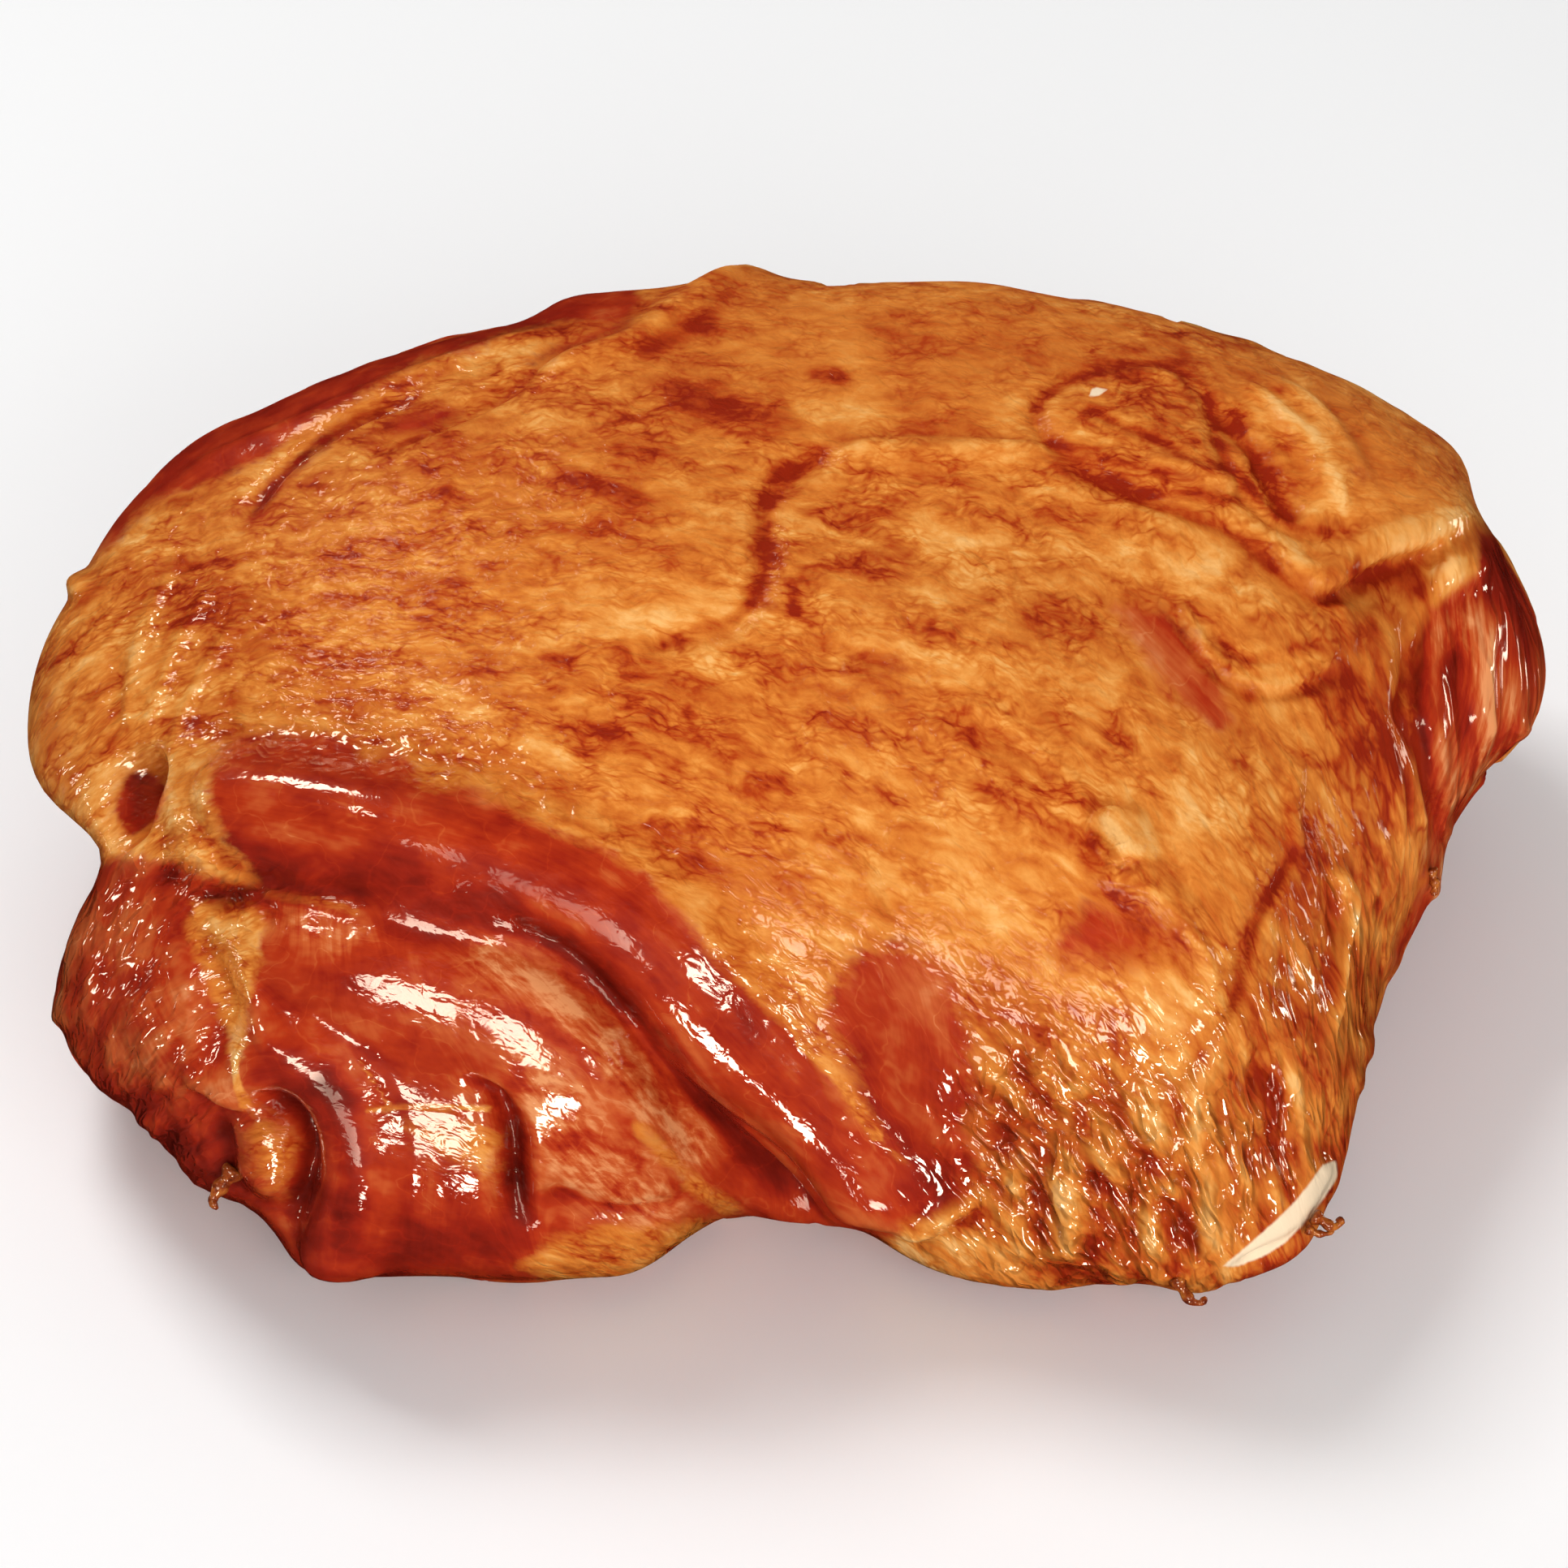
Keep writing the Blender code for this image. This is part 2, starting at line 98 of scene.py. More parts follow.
# How squarely a point faces the viewpoint to be seen, and how many points near a pixel tell where it falls.
FACING = 0.02
NEAREST = 6

# How finely curves are followed, on the form, and in pixels for strokes, fibres and torn ends.
RELIEF_STEP = 4
STROKE_STEP = 12
FIBRE_STEP = 30
SHRED_STEP = 3

# How a stroke's right side sets in, as a share of its reach, and a lip's edge; and how full a roll is, and
# how much wider a rising one starts.
SIDE_FADE = 0.6
LIP_EDGE = 4
ROLL_POWER = 1.7
ROLL_SLACK = 0.8

# The relief, by name: its kind, its height (sunk if negative), its reach to the left and to the right of the
# curve, and the curve. A swell is soft all round, a roll is full on its right, a rising roll is so only
# towards its end, a crease is sharp, and a lip stands up on its right.
RELIEF = {
    "left lobe": ("swell", 6, 60, 60, "130,1180 170,1270"),
    "left lobe knuckle": ("swell", 4, 20, 20, "228,1280 238,1300"),
    "left bulge": ("swell", 6, 48, 48, "86,800 92,930"),
    "front foot": ("swell", 4, 44, 44, "430,1530 560,1520"),
    "lobe in the hook": ("swell", 5, 14, 14, "335,1395 338,1435"),
    "lobe in the pleat": ("swell", 4, 26, 26, "500,1420 575,1425"),
    "middle muscle shoulder": ("swell", 5, 30, 30, "375,1165 430,1200"),
    "middle muscle crest": ("swell", 2.5, 28, 28, "630,1250 700,1300"),
    "roll's left end": ("swell", 3.5, 15, 15, "315,985 430,1004 560,1040"),
    "crown": ("swell", 3, 72, 72, "520,640 760,640"),
    "right shoulder": ("swell", 4, 44, 44, "1690,560 1750,600"),
    "right flap": ("swell", 5, 36, 36, "1820,760 1850,840"),
    "front belly": ("swell", 3, 60, 60, "1180,1180 1240,1330 1330,1420"),
    "oval lobe": ("swell", 2, 32, 32, "1390,525 1450,565"),
    "lower lobe": ("swell", 1.8, 24, 24, "1530,750 1585,785"),
    "fat bead": ("swell", 4, 9, 9, "1382,1022 1392,1054"),
    "web of fat": ("swell", 2, 16, 16, "225,930 215,990 185,1030"),
    "dip behind the middle": ("swell", -3, 48, 48, "1010,600 1240,640 1420,700"),
    "dip along the valley": ("swell", -2.5, 32, 32, "640,1140 760,1260 930,1450"),
    "dip at the valley's foot": ("swell", -3, 28, 28, "850,1410 930,1490"),
    "dip in the right flank": ("swell", -4, 20, 20, "1590,1390 1560,1350"),
    "dip under the lip": ("swell", -3, 24, 24, "1690,712 1740,728"),
    "pocket": ("swell", -18, 11, 11, "177,966 168,1004"),
    "front roll": ("rising roll", 9.5, 20, 11, "290,1000 430,1020 640,1074 790,1170 905,1302 1060,1458"),
    "middle muscle": ("ridge", 6.5, 20, 30, "420,1150 560,1200 700,1300 800,1400 900,1500"),
    "hook": ("roll", 8, 13, 8, "300,1318 345,1296 396,1320 432,1372 438,1440 418,1530"),
    "edge over the hook": ("ridge", 2.5, 3, 5, "303,1190 345,1255 392,1293"),
    "beaded edge": ("ridge", 2.2, 5, 6, "150,1056 260,1066 372,1102"),
    "back left ridge": ("ridge", 2, 8, 8, "200,605 400,508 700,398"),
    "ridge from the peak": ("ridge", 3, 8, 10, "905,332 822,398 690,455 630,485"),
    "ridge in the hollow": ("ridge", 2.5, 4, 6, "1556,500 1622,572 1650,635"),
    "ridge right of the hollow": ("ridge", 3, 6, 9, "1545,455 1635,550 1672,640"),
    "arc over the patch": ("ridge", 2.5, 6, 8, "1345,1072 1442,1112 1482,1190"),
    "ridge across the back": ("ridge", 1.6, 5, 5, "1000,548 1140,556 1290,556"),
    "flank ridge": ("ridge", 3, 6, 6, "1640,1060 1662,1110 1655,1170 1640,1300"),
    "right flank ridge": ("ridge", 2.5, 5, 7, "1700,900 1716,1060 1700,1140"),
    "lump in the flank": ("ridge", 3, 5, 5, "1596,1300 1618,1400"),
    "fold at the foot": ("ridge", 3, 5, 6, "1108,1524 1186,1486 1232,1468"),
    "valley": ("crease", -7, 5, 10, "590,1128 690,1164 760,1232 862,1366 970,1486 1030,1516"),
    "under the roll's end": ("crease", -3.5, 4, 9, "262,1012 288,1060 345,1092 430,1100 530,1108"),
    "pleat": ("crease", -9, 4, 7, "560,1312 612,1340 634,1388 640,1474 656,1508"),
    "foot crease": ("crease", -3.5, 6, 5, "655,1440 740,1490 850,1492"),
    "second valley": ("crease", -2.5, 5, 8, "760,1270 810,1340 890,1470"),
    "crease in the hook": ("crease", -6.5, 4, 7, "300,1350 338,1344 370,1368 388,1412 380,1458 350,1512"),
    "seam of the left lobe": ("crease", -4.5, 8, 8, "228,1112 282,1240 286,1350"),
    "seam below": ("crease", -3, 6, 5, "286,1350 284,1420 300,1478"),
    "hollow under the beads": ("crease", -3, 6, 4, "232,1088 272,1108 316,1112"),
    "cleft of the left bulge": ("crease", -2.5, 5, 8, "134,1050 158,960 160,900"),
    "groove up the left bulge": ("crease", -1.5, 7, 7, "160,940 156,860 152,770"),
    "groove round the roll's end": ("crease", -2, 6, 6, "250,930 248,975 300,1070"),
    "back left groove": ("crease", -3, 5, 5, "300,650 350,578 450,510 535,482"),
    "edge of the fat cap": ("crease", -2.5, 6, 7, "800,405 680,442 605,495 450,578"),
    "middle groove": ("swell", -1.9, 5.5, 5.5, "1010,556 950,602 941,700 905,764 815,792"),
    "step in the middle": ("crease", -1.5, 3, 7, "985,788 1050,798 1155,832"),
    "step to the right": ("crease", -1.5, 6, 8, "1160,868 1230,905 1350,985"),
    "oval lobe edge": ("crease", -2, 4, 5, "1350,455 1276,500 1315,553 1435,608 1520,612 1535,592"),
    "hollow edge": ("crease", -2.5, 4, 5, "1483,470 1502,550 1548,622 1620,660 1668,640"),
    "hollow": ("swell", -3.5, 8, 8, "1520,520 1556,570 1592,620"),
    "groove to the lip": ("crease", -1.6, 6, 7, "1290,560 1405,604 1520,648 1600,722"),
    "groove under the rim": ("crease", -1.2, 4, 5, "1560,856 1640,838 1690,820"),
    "step by the front patch": ("crease", -2.2, 3, 7, "980,1046 1070,1080 1112,1136"),
    "flank crease": ("crease", -1.7, 4, 4, "1596,1040 1548,1142 1530,1205 1515,1270"),
    "lower flank crease": ("crease", -1.8, 4, 4, "1490,1270 1465,1320 1448,1342"),
    "crease before the flap": ("crease", -6, 7, 9, "1758,742 1742,845 1748,910 1776,1045"),
    "crease over the crescent": ("crease", -3, 5, 5, "1500,1566 1560,1550 1650,1450"),
    "crease under the fold": ("crease", -3, 5, 5, "1104,1536 1196,1498 1240,1478"),
    "right lip": ("lip", 6.5, 26, 26, """
        1818,632 1786,660 1738,680 1692,690 1664,714 1622,727 1576,684 1530,645"""),
    "lip over the pleat": ("lip", 3.5, 14, 14, "660,1520 645,1470 638,1390 610,1336 555,1300"),
    "lower lobe rim": ("lip", 2.4, 13, 13, "1652,770 1612,820 1562,834 1514,820 1478,784 1456,748"),
    "tongue of fat": ("lip", 4.5, 15, 15, "1824,690 1806,718 1778,738 1757,746 1744,716"),
    "lip over the roll": ("lip", 2, 12, 12, "1080,1425 1012,1300 905,1200 790,1085 715,1035"),
}

# Lumps all over: height, size of a lump, seed. The last is how many lumps pass before they come again.
LUMPS = ((1.1, 46, 3), (0.7, 20, 5))
LATTICE = 32

# Cells along length, depth and height of the mesh that the form is fitted on, and of the fine mesh; and
# which way the fine ones crowd, how often they are softened, and how fast the front gives way to the back.
REFERENCE_GRID = (150, 110, 90)
FINE_GRID = (210, 150, 124)
CROWDING = (0, -0.2, 0.24)
FORM_SOFTENING = 2
FRONT_FADE = 0.2

# The empty edge of each field of the texture map, as a share of the field.
MAP_EDGE = 0.01

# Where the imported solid's middle lies in the frame that the shape is worked out in.
SOLID_MIDDLE = (2.73, 5.07, 0)

# Fine folds, by name: kind, height, reach to the left and the right of the curve in pixels, and the curve.
FOLDS = {
    "bump on the left edge": ("swell", 2.5, 26, 26, "92,712 96,722"),
    "left streak 1": ("ridge", 0.9, 11, 11, "262,720 222,790 192,868 180,910"),
    "left streak 2": ("ridge", 0.9, 11, 11, "300,760 262,812 226,880 212,930"),
    "left streak 3": ("ridge", 0.8, 10, 10, "216,700 178,770 160,850 156,900"),
    "middle ridge": ("ridge", 1.2, 10, 16, "1040,548 1140,546 1250,550 1300,556"),
    "fibre ridge 1": ("ridge", 0.8, 18, 18, "1180,858 1270,912 1345,992"),
    "fibre ridge 2": ("ridge", 0.6, 18, 18, "1060,900 1160,960 1230,1020"),
    "fibre ridge 3": ("ridge", 0.6, 18, 18, "1120,880 1200,930 1290,1010"),
    "edge over the front patch": ("ridge", 1, 10, 12, "975,1040 1010,1066 1078,1092 1112,1140"),
    "crest of the oval lobe": ("ridge", 1.4, 16, 16, """
        1400,560 1440,572 1490,586 1524,596 1530,575 1505,540"""),
    "small oval": ("ridge", 0.9, 12, 12, "1368,492 1380,466 1425,458 1452,476 1440,496"),
    "oval lobe streak": ("crease", -0.8, 9, 9, "1330,500 1400,530 1470,560"),
    "back rim of the hollow": ("ridge", 1.6, 14, 12, "1520,470 1570,500 1612,550 1645,600 1660,640"),
    "streak in the hollow": ("ridge", 1, 10, 10, "1535,520 1570,560 1600,610 1625,645"),
    "deep of the hollow": ("crease", -0.8, 16, 16, "1500,490 1520,560 1560,615 1610,650"),
    "roll of the lip": ("ridge", 2.2, 34, 26, """
        1800,622 1760,650 1720,660 1680,676 1650,700 1620,712 1585,690 1550,655"""),
    "under the lip": ("crease", -2, 12, 26, """
        1545,668 1580,704 1622,736 1662,722 1692,700 1740,688 1790,664"""),
    "tongue of fat": ("ridge", 2.4, 24, 20, "1806,672 1790,700 1766,734"),
    "lower lobe rim": ("ridge", 1.6, 12, 10, """
        1452,738 1466,770 1490,806 1526,834 1568,844 1606,832 1640,806 1650,780"""),
    "under the lower lobe": ("crease", -0.9, 8, 14, """
        1446,752 1462,786 1488,822 1526,850 1570,860 1614,846 1650,822"""),
    "in the lower lobe": ("crease", -1, 12, 12, "1490,770 1530,808 1590,812 1632,776"),
    "right of the lower lobe": ("ridge", 1.2, 14, 14, "1640,730 1660,770 1662,815"),
    "knob": ("swell", 2.6, 26, 24, "1370,1010 1386,1040"),
    "round the knob": ("crease", -1.4, 8, 12, "1392,990 1350,990 1338,1020 1356,1058 1392,1072 1416,1048"),
    "arc over the round patch": ("ridge", 1.2, 14, 14, "1335,1080 1390,1088 1430,1110 1480,1170 1502,1230"),
    "flap groove": ("crease", -1.6, 10, 14, "1766,745 1750,800 1746,860 1756,930 1772,1010 1790,1060"),
    "flap edge": ("ridge", 1.4, 12, 12, "1742,760 1728,840 1730,900 1742,960 1755,1030"),
    "bump on the right edge 1": ("swell", 1.3, 22, 22, "1882,900 1884,914"),
    "bump on the right edge 2": ("swell", 1.4, 20, 20, "1784,1028 1786,1042"),
    "bump on the right edge 3": ("swell", 1.2, 18, 18, "1764,1088 1768,1100"),
    "bump on the right edge 4": ("swell", 1, 22, 22, "1715,1184 1717,1196"),
    "bump on the right edge 5": ("swell", 1.2, 20, 20, "1684,1284 1688,1298"),
    "bump on the right edge 6": ("swell", 0.8, 18, 18, "1672,1326 1676,1338"),
    "bump on the left edge 2": ("swell", 1.2, 22, 22, "78,1236 74,1252"),
    "bump on the lower left edge": ("swell", 1.3, 24, 24, "178,1380 190,1394"),
    "flap fold": ("ridge", 1.2, 16, 16, "1850,740 1835,820 1830,880 1850,920"),
    "flank beads 1": ("ridge", 1.6, 14, 14, "1640,1060 1655,1090 1662,1120"),
    "flank beads 2": ("ridge", 1.6, 16, 16, "1700,1010 1706,1060 1700,1120"),
    "flank ridge 2": ("ridge", 1.2, 14, 14, "1600,930 1594,1000 1600,1060"),
    "flank groove": ("crease", -0.8, 8, 12, """
        1600,1040 1580,1080 1556,1120 1540,1170 1528,1220 1500,1270 1470,1320 1450,1342"""),
    "groove across the side": ("crease", -0.7, 10, 16, "1300,570 1370,600 1450,632 1530,656 1590,696"),
    "leaf edge": ("crease", -0.6, 10, 12, "1310,560 1276,520 1290,480 1345,455 1420,450 1475,466"),
}

# What is painted, by channel. An area is (amount, softness of its edge in pixels, its outline), and a
# stroke is (amount, reach in pixels, its curve). The highest counts where they overlap, but tones add up,
# and fat and dry strokes take away.
LEAN_AREAS = {
    "front": (1, 26, """
        262,985 256,945 275,918 300,905 345,902 395,904 435,912 447,935 462,940 480,925 500,935
        520,972 575,970 613,986 651,1009 682,1025 739,1044 785,1072 815,1095 840,1120 880,1180
        935,1235 985,1285 1025,1330 1055,1375 1085,1405 1110,1425 1165,1440 1200,1455 1185,1480
        1120,1505 1085,1530 1060,1560 930,1560 830,1600 720,1640 430,1640 330,1600 280,1540 180,1460
        60,1350 30,1220 60,1110 120,1062 160,1052 220,1062 268,1082 300,1096 318,1085 285,1045
        266,1010"""),
    "front patch": (1, 44, """
        1045,1185 1075,1168 1110,1160 1140,1175 1165,1195 1185,1230 1200,1290 1205,1340 1195,1385
        1215,1430 1190,1460 1130,1460 1085,1410 1065,1370 1050,1320 1035,1290 1020,1255 1030,1215"""),
    "round patch": (0.75, 44, """
        1303,1142 1330,1110 1360,1104 1398,1119 1421,1142 1425,1176 1391,1199 1345,1195 1307,1188
        1291,1169"""),
    "patch by the lower lobe": (0.85, 30, """
        1362,745 1400,730 1440,745 1466,782 1500,830 1522,860 1530,895 1505,905 1462,880 1424,850
        1408,810 1380,775"""),
    "spot by the hollow": (0.55, 24, "1655,545 1690,555 1700,590 1680,610 1660,590"),
    "streak in the oval lobe": (0.55, 18, "1400,560 1440,565 1495,590 1470,602 1420,590"),
    "right flap": (1, 22, """
        1822,655 1850,655 1900,720 1930,780 1930,905 1850,970 1820,1100 1760,1250 1700,1340
        1688,1320 1695,1250 1715,1180 1740,1110 1758,1070 1765,1020 1755,960 1745,900 1740,840
        1752,790 1762,752 1800,722 1820,700"""),
    "back left band": (1, 24, """
        775,330 790,375 760,400 700,397 640,407 590,427 520,445 470,470 440,490 390,515 330,560
        270,592 220,606 180,628 140,668 110,690 70,680 120,570 230,480 330,420 480,360 640,310"""),
    "back left lobe": (0.75, 18, "470,520 500,505 550,497 578,505 560,522 520,536 480,538"),
    "back left streak": (0.85, 18, """
        298,655 318,610 350,570 400,530 445,510 435,532 390,560 360,592 325,640"""),
    "under the peak": (0.8, 20, "640,445 690,422 750,397 785,385 780,405 720,427 660,452"),
    "left pocket": (1, 14, "144,985 155,955 180,948 202,958 203,985 195,1010 170,1030 150,1028 145,1005"),
    "edge of the left bulge": (0.5, 40, "30,860 70,850 100,900 110,980 90,1020 40,960"),
}
FAT_AREAS = {
    "hook": (0.6, 30, "290,1375 300,1350 325,1358 360,1380 378,1410 375,1450 355,1480 320,1470 295,1430"),
    "pocket": (0.62, 34, """
        462,1372 520,1366 590,1372 632,1392 630,1440 600,1470 560,1450 520,1430 490,1410"""),
    "foot": (0.9, 22, """
        640,1560 680,1524 740,1508 800,1512 860,1500 905,1500 880,1525 830,1570 780,1600 700,1600"""),
    "seam": (1, 20, """
        240,1112 300,1108 330,1128 322,1180 306,1240 298,1300 284,1300 268,1240 246,1190 232,1150"""),
}
FAT_STROKES = {
    "seam below": (0.9, 9, "289,1290 291,1330 300,1362"),
    "ribbon": (0.6, 26, "790,1390 845,1450 900,1492"),
    "line over the pocket": (0.7, 9, "455,1368 520,1364 600,1366"),
    "line into the pocket": (0.6, 7, "444,1308 462,1335 478,1360"),
    "lip of the front patch": (0.9, 12, "985,1285 1030,1325 1062,1372 1080,1400"),
    "shelf": (0.55, 16, "330,1102 390,1110 440,1124"),
}

# How much paler, above nought, or darker, below it, the fat and the lean are along curves. Many rows
# darken creases, grooves and hollows, and the row under the right lip is painted shade.
TONES = (
    (-0.35, 190, "480,560 900,440 1250,440 1500,500"),
    (-0.5, 130, "290,760 420,760 560,740"),
    (-0.9, 20, "1010,562 970,580 945,610 938,650 942,690 930,738"),
    (-0.8, 11, "930,738 900,765 860,775 820,795"),
    (-0.9, 12, "955,690 975,725 980,752"),
    (-0.8, 14, "945,740 980,748"),
    (-0.6, 34, "840,480 900,500 960,520"),
    (-0.8, 13, "1005,460 1035,465"),
    (-0.5, 38, "1120,505 1190,510"),
    (-0.6, 12, "1095,668 1125,672"),
    (-0.6, 22, "1000,875 1060,890"),
    (-0.8, 24, "690,590 740,600 790,625"),
    (-0.8, 15, "672,812 700,818"),
    (-0.8, 20, "715,925 730,940"),
    (-0.7, 22, "870,395 840,410 800,425"),
    (-0.5, 14, "985,790 1060,806 1150,832"),
    (-0.3, 10, "1276,500 1300,540 1340,575 1430,606 1520,612"),
    (-0.5, 9, "1276,500 1300,478 1350,458"),
    (-0.8, 9, "1488,486 1500,540 1532,594 1580,643 1636,656"),
    (-0.55, 36, "1512,505 1550,570 1604,634"),
    (0.5, 8, "1530,520 1562,572 1606,630"),
    (0.7, 12, "1556,480 1604,520 1642,580 1656,628"),
    (-0.7, 8, "1310,545 1390,572 1480,588"),
    (-0.6, 8, "1340,503 1420,540 1496,586"),
    (-0.6, 8, "1410,500 1470,542 1512,586"),
    (0.5, 9, "1330,528 1410,562 1490,596"),
    (-0.6, 14, "1300,575 1400,610 1500,650 1570,700"),
    # Painted shade under the right lip.
    (-0.5, 18, "1640,700 1700,710 1740,730"),
    (-0.5, 10, "1500,830 1560,808 1620,790"),
    (-0.35, 8, "1600,1040 1560,1110 1535,1180 1520,1240 1485,1300 1450,1342"),
    (-0.4, 50, "1560,1220 1600,1270 1630,1310"),
    (-0.7, 44, "1560,1340 1590,1420 1640,1430"),
    (-0.6, 170, "1240,1430 1420,1500 1540,1500"),
    (-0.75, 110, "1660,760 1690,900 1640,1060"),
    (-0.6, 100, "1560,1150 1620,1320"),
    (-0.5, 60, "1222,1200 1262,1300 1250,1400"),
    (-0.9, 16, "1528,1576 1590,1552 1630,1512 1656,1462"),
    (-0.35, 90, "800,860 930,960"),
    (0.15, 100, "110,1150 190,1250 240,1380"),
    (-0.5, 34, "1440,1430 1470,1500 1440,1560"),
    (-0.5, 30, "1280,1560 1360,1575"),
    (-0.5, 30, "1110,1480 1180,1440"),
    (0.8, 24, "1636,1085 1660,1130 1700,1150"),
    (0.8, 18, "1586,1335 1602,1390"),
    (0.5, 40, "1470,1420 1520,1540"),
    (-0.4, 16, "980,1050 1060,1092 1105,1140"),
    (-0.5, 18, "850,1062 920,1088 990,1082"),
    (-0.4, 26, "380,800 420,840"),
    (-0.5, 24, "500,860 560,880 620,930"),
    (-0.4, 40, "620,880 760,930"),
    (0.8, 50, "1400,770 1440,810 1490,870"),
    (-0.5, 60, "1830,680 1880,760 1800,830 1840,920 1790,1040"),
    (0.4, 60, "1110,1210 1120,1300 1110,1380"),
    (0.55, 44, "262,1120 280,1160 292,1230 292,1290"),
    (0.5, 40, "600,1380 600,1430"),
    (0.8, 30, "862,800 910,830"),
    (0.6, 34, "1000,495 1090,520"),
    (0.35, 60, "1100,620 1220,700 1260,800"),
    (0.4, 40, "1020,740 1080,770"),
    (0.5, 22, "960,930 1020,965"),
    (0.3, 60, "1100,1080 1200,1110 1260,1150"),
    (0.5, 34, "1330,1060 1420,1100"),
    (0.5, 26, "1366,1000 1384,1045"),
    (0.4, 40, "1460,700 1520,740"),
    (0.5, 20, "1600,470 1640,540"),
    (0.4, 22, "1500,470 1560,500"),
    (0.4, 22, "1660,690 1750,668 1810,640"),
    (0.5, 24, "1765,700 1800,690"),
    (0.6, 30, "520,850 570,880 600,900"),
    (0.5, 40, "230,930 210,1000"),
    (0.4, 30, "150,620 230,610"),
    (0.5, 22, "560,450 650,430"),
    (0.5, 40, "1480,1000 1560,980"),
    (0.4, 50, "1440,1250 1500,1200"),
    (0.8, 40, "1130,1540 1200,1540 1280,1560"),
)
# Deep red of the lean meat along curves, much of it in creases and under folds; the stroke under the roll's
# end is painted shade.
BLOOD_AND_SHADE = (
    (0.9, 26, "640,1132 720,1180 800,1262 880,1370 960,1460"),
    # Painted shade under the roll's end.
    (0.75, 44, "272,1040 300,1068 380,1078 500,1092 620,1124"),
    (0.9, 26, "632,1340 640,1400 636,1470 650,1505"),
    (0.8, 30, "350,1340 400,1390 398,1470 380,1540"),
    (0.8, 30, "200,1400 250,1440 290,1470"),
    (0.7, 30, "320,1500 360,1560 440,1570"),
    (1, 30, "172,960 170,1015"),
    (0.5, 26, "1790,820 1788,840"),
    (0.3, 34, "1840,690 1870,740"),
    (0.6, 16, "300,660 340,600 400,540 480,500"),
    (0.4, 50, "140,620 300,520 500,440 700,372"),
    (0.2, 60, "290,960 430,990 640,1060 800,1170 960,1340"),
    (0.8, 46, "620,1530 560,1530 470,1545 420,1560"),
    (1.1, 34, "396,1330 424,1380 430,1450 425,1530"),
    (0.6, 30, "310,1320 350,1305 390,1320"),
    (0.5, 50, "110,1330 200,1400 250,1460"),
)
WEBS = (
    (1, 56, "600,1180 690,1230 770,1310 850,1410"),
    (0.6, 40, "330,1120 440,1160"),
    (0.2, 70, "110,1130 180,1200 220,1290 130,1300"),
    (1, 80, "1800,770 1850,880 1810,960 1780,1060"),
    (1, 80, "670,1340 720,1420 790,1480"),
    (0.4, 40, "430,440 560,430"),
)
WET_AREAS = (
    (0.9, 60, "110,680 260,690 300,760 270,900 220,1040 60,1030 30,860"),
    (1, 60, """
        230,860 450,850 620,900 800,1050 960,1190 1100,1180 1300,1280 1600,1180 1700,1060 1720,1240
        1660,1500 1480,1620 1000,1620 300,1620 0,1400 0,1040 200,1030"""),
    (0.6, 40, "1740,640 1930,640 1930,1100 1740,1100"),
    (0.45, 40, "100,640 300,500 520,400 780,340 780,400 560,500 320,640 160,700"),
)
DRY_STROKES = (
    (1, 90, "290,1070 400,1068 520,1076 620,1100 700,1140 770,1220"),
    (0.6, 50, "560,1040 660,1080 740,1120"),
    (0.5, 60, "330,850 480,870 600,900"),
    (0.9, 34, "405,1340 428,1400 420,1500"),
    (0.9, 30, "612,1336 636,1380 642,1470 652,1510"),
    (0.9, 34, "930,1455 990,1485 1040,1512"),
    (0.6, 40, "1040,1425 1085,1480 1110,1505"),
    (0.7, 50, "1015,1200 1040,1290 1080,1400"),
    (0.6, 40, "1195,1240 1205,1320 1200,1400"),
    (0.6, 50, "290,580 400,520 500,480"),
)
ROUGH_AREAS = (
    (1, 60, """
        1190,1340 1260,1290 1330,1320 1420,1330 1500,1330 1560,1300 1620,1340 1640,1420 1560,1510
        1500,1570 1380,1600 1280,1590 1220,1530 1190,1430"""),
    (0.6, 50, "1550,1180 1600,1100 1660,1020 1730,1060 1700,1200 1640,1300 1560,1260"),
    (0.7, 40, "150,1040 240,1050 340,1090 330,1130 200,1110"),
    (0.3, 50, "60,1100 160,1060 230,1110 250,1250 290,1350 290,1480 180,1460 60,1320"),
    (0.45, 40, "1760,720 1860,670 1940,780 1940,940 1800,1100 1750,1000"),
    (0.35, 40, "230,890 440,870 620,930 760,1010 740,1050 560,980 440,930 260,930"),
)
CALM_AREAS = (
    (1, 60, "1540,430 1700,490 1815,600 1810,660 1700,690 1650,640 1600,540 1520,460"),
    (0.8, 60, "760,440 905,330 1250,355 1400,400 1250,540 1000,540 860,520"),
    (0.8, 60, "1040,1180 1180,1160 1220,1300 1190,1460 1090,1400"),
    (0.6, 60, "830,1080 1250,1050 1300,1180 1100,1170 950,1220"),
    (0.5, 60, "600,600 800,560 930,640 880,760 700,760"),
)
# Pale ivory fat, and one painted glint.
IVORY_AND_GLINT_AREAS = (
    (1, 8, """
        1508,1560 1534,1538 1562,1513 1588,1489 1610,1464 1630,1436 1646,1430 1648,1450 1630,1478
        1606,1508 1584,1530 1556,1548 1524,1560"""),
    (0.9, 5, "1341,490 1347,477 1364,480 1356,487"),
    # A painted glint at the foot of the seam.
    (0.5, 10, "296,1362 320,1358 322,1372 300,1378"),
)

# Torn ends that stand off the ham: half their thickness, and their curve.
SHREDS = {
    "by the crescent": (1.7, "1618,1498 1632,1506 1642,1512 1650,1508 1652,1499"),
    "under the crescent": (1.2, "1610,1514 1624,1520 1636,1520 1644,1517"),
    "at the foot": (1.7, "1448,1574 1458,1590 1468,1603 1480,1605 1486,1598"),
    "at the lower left": (2, "290,1440 272,1462 262,1480 268,1490"),
    "at the right": (1.4, "1762,1070 1768,1090 1766,1104"),
}
SHRED_SIDES = 10

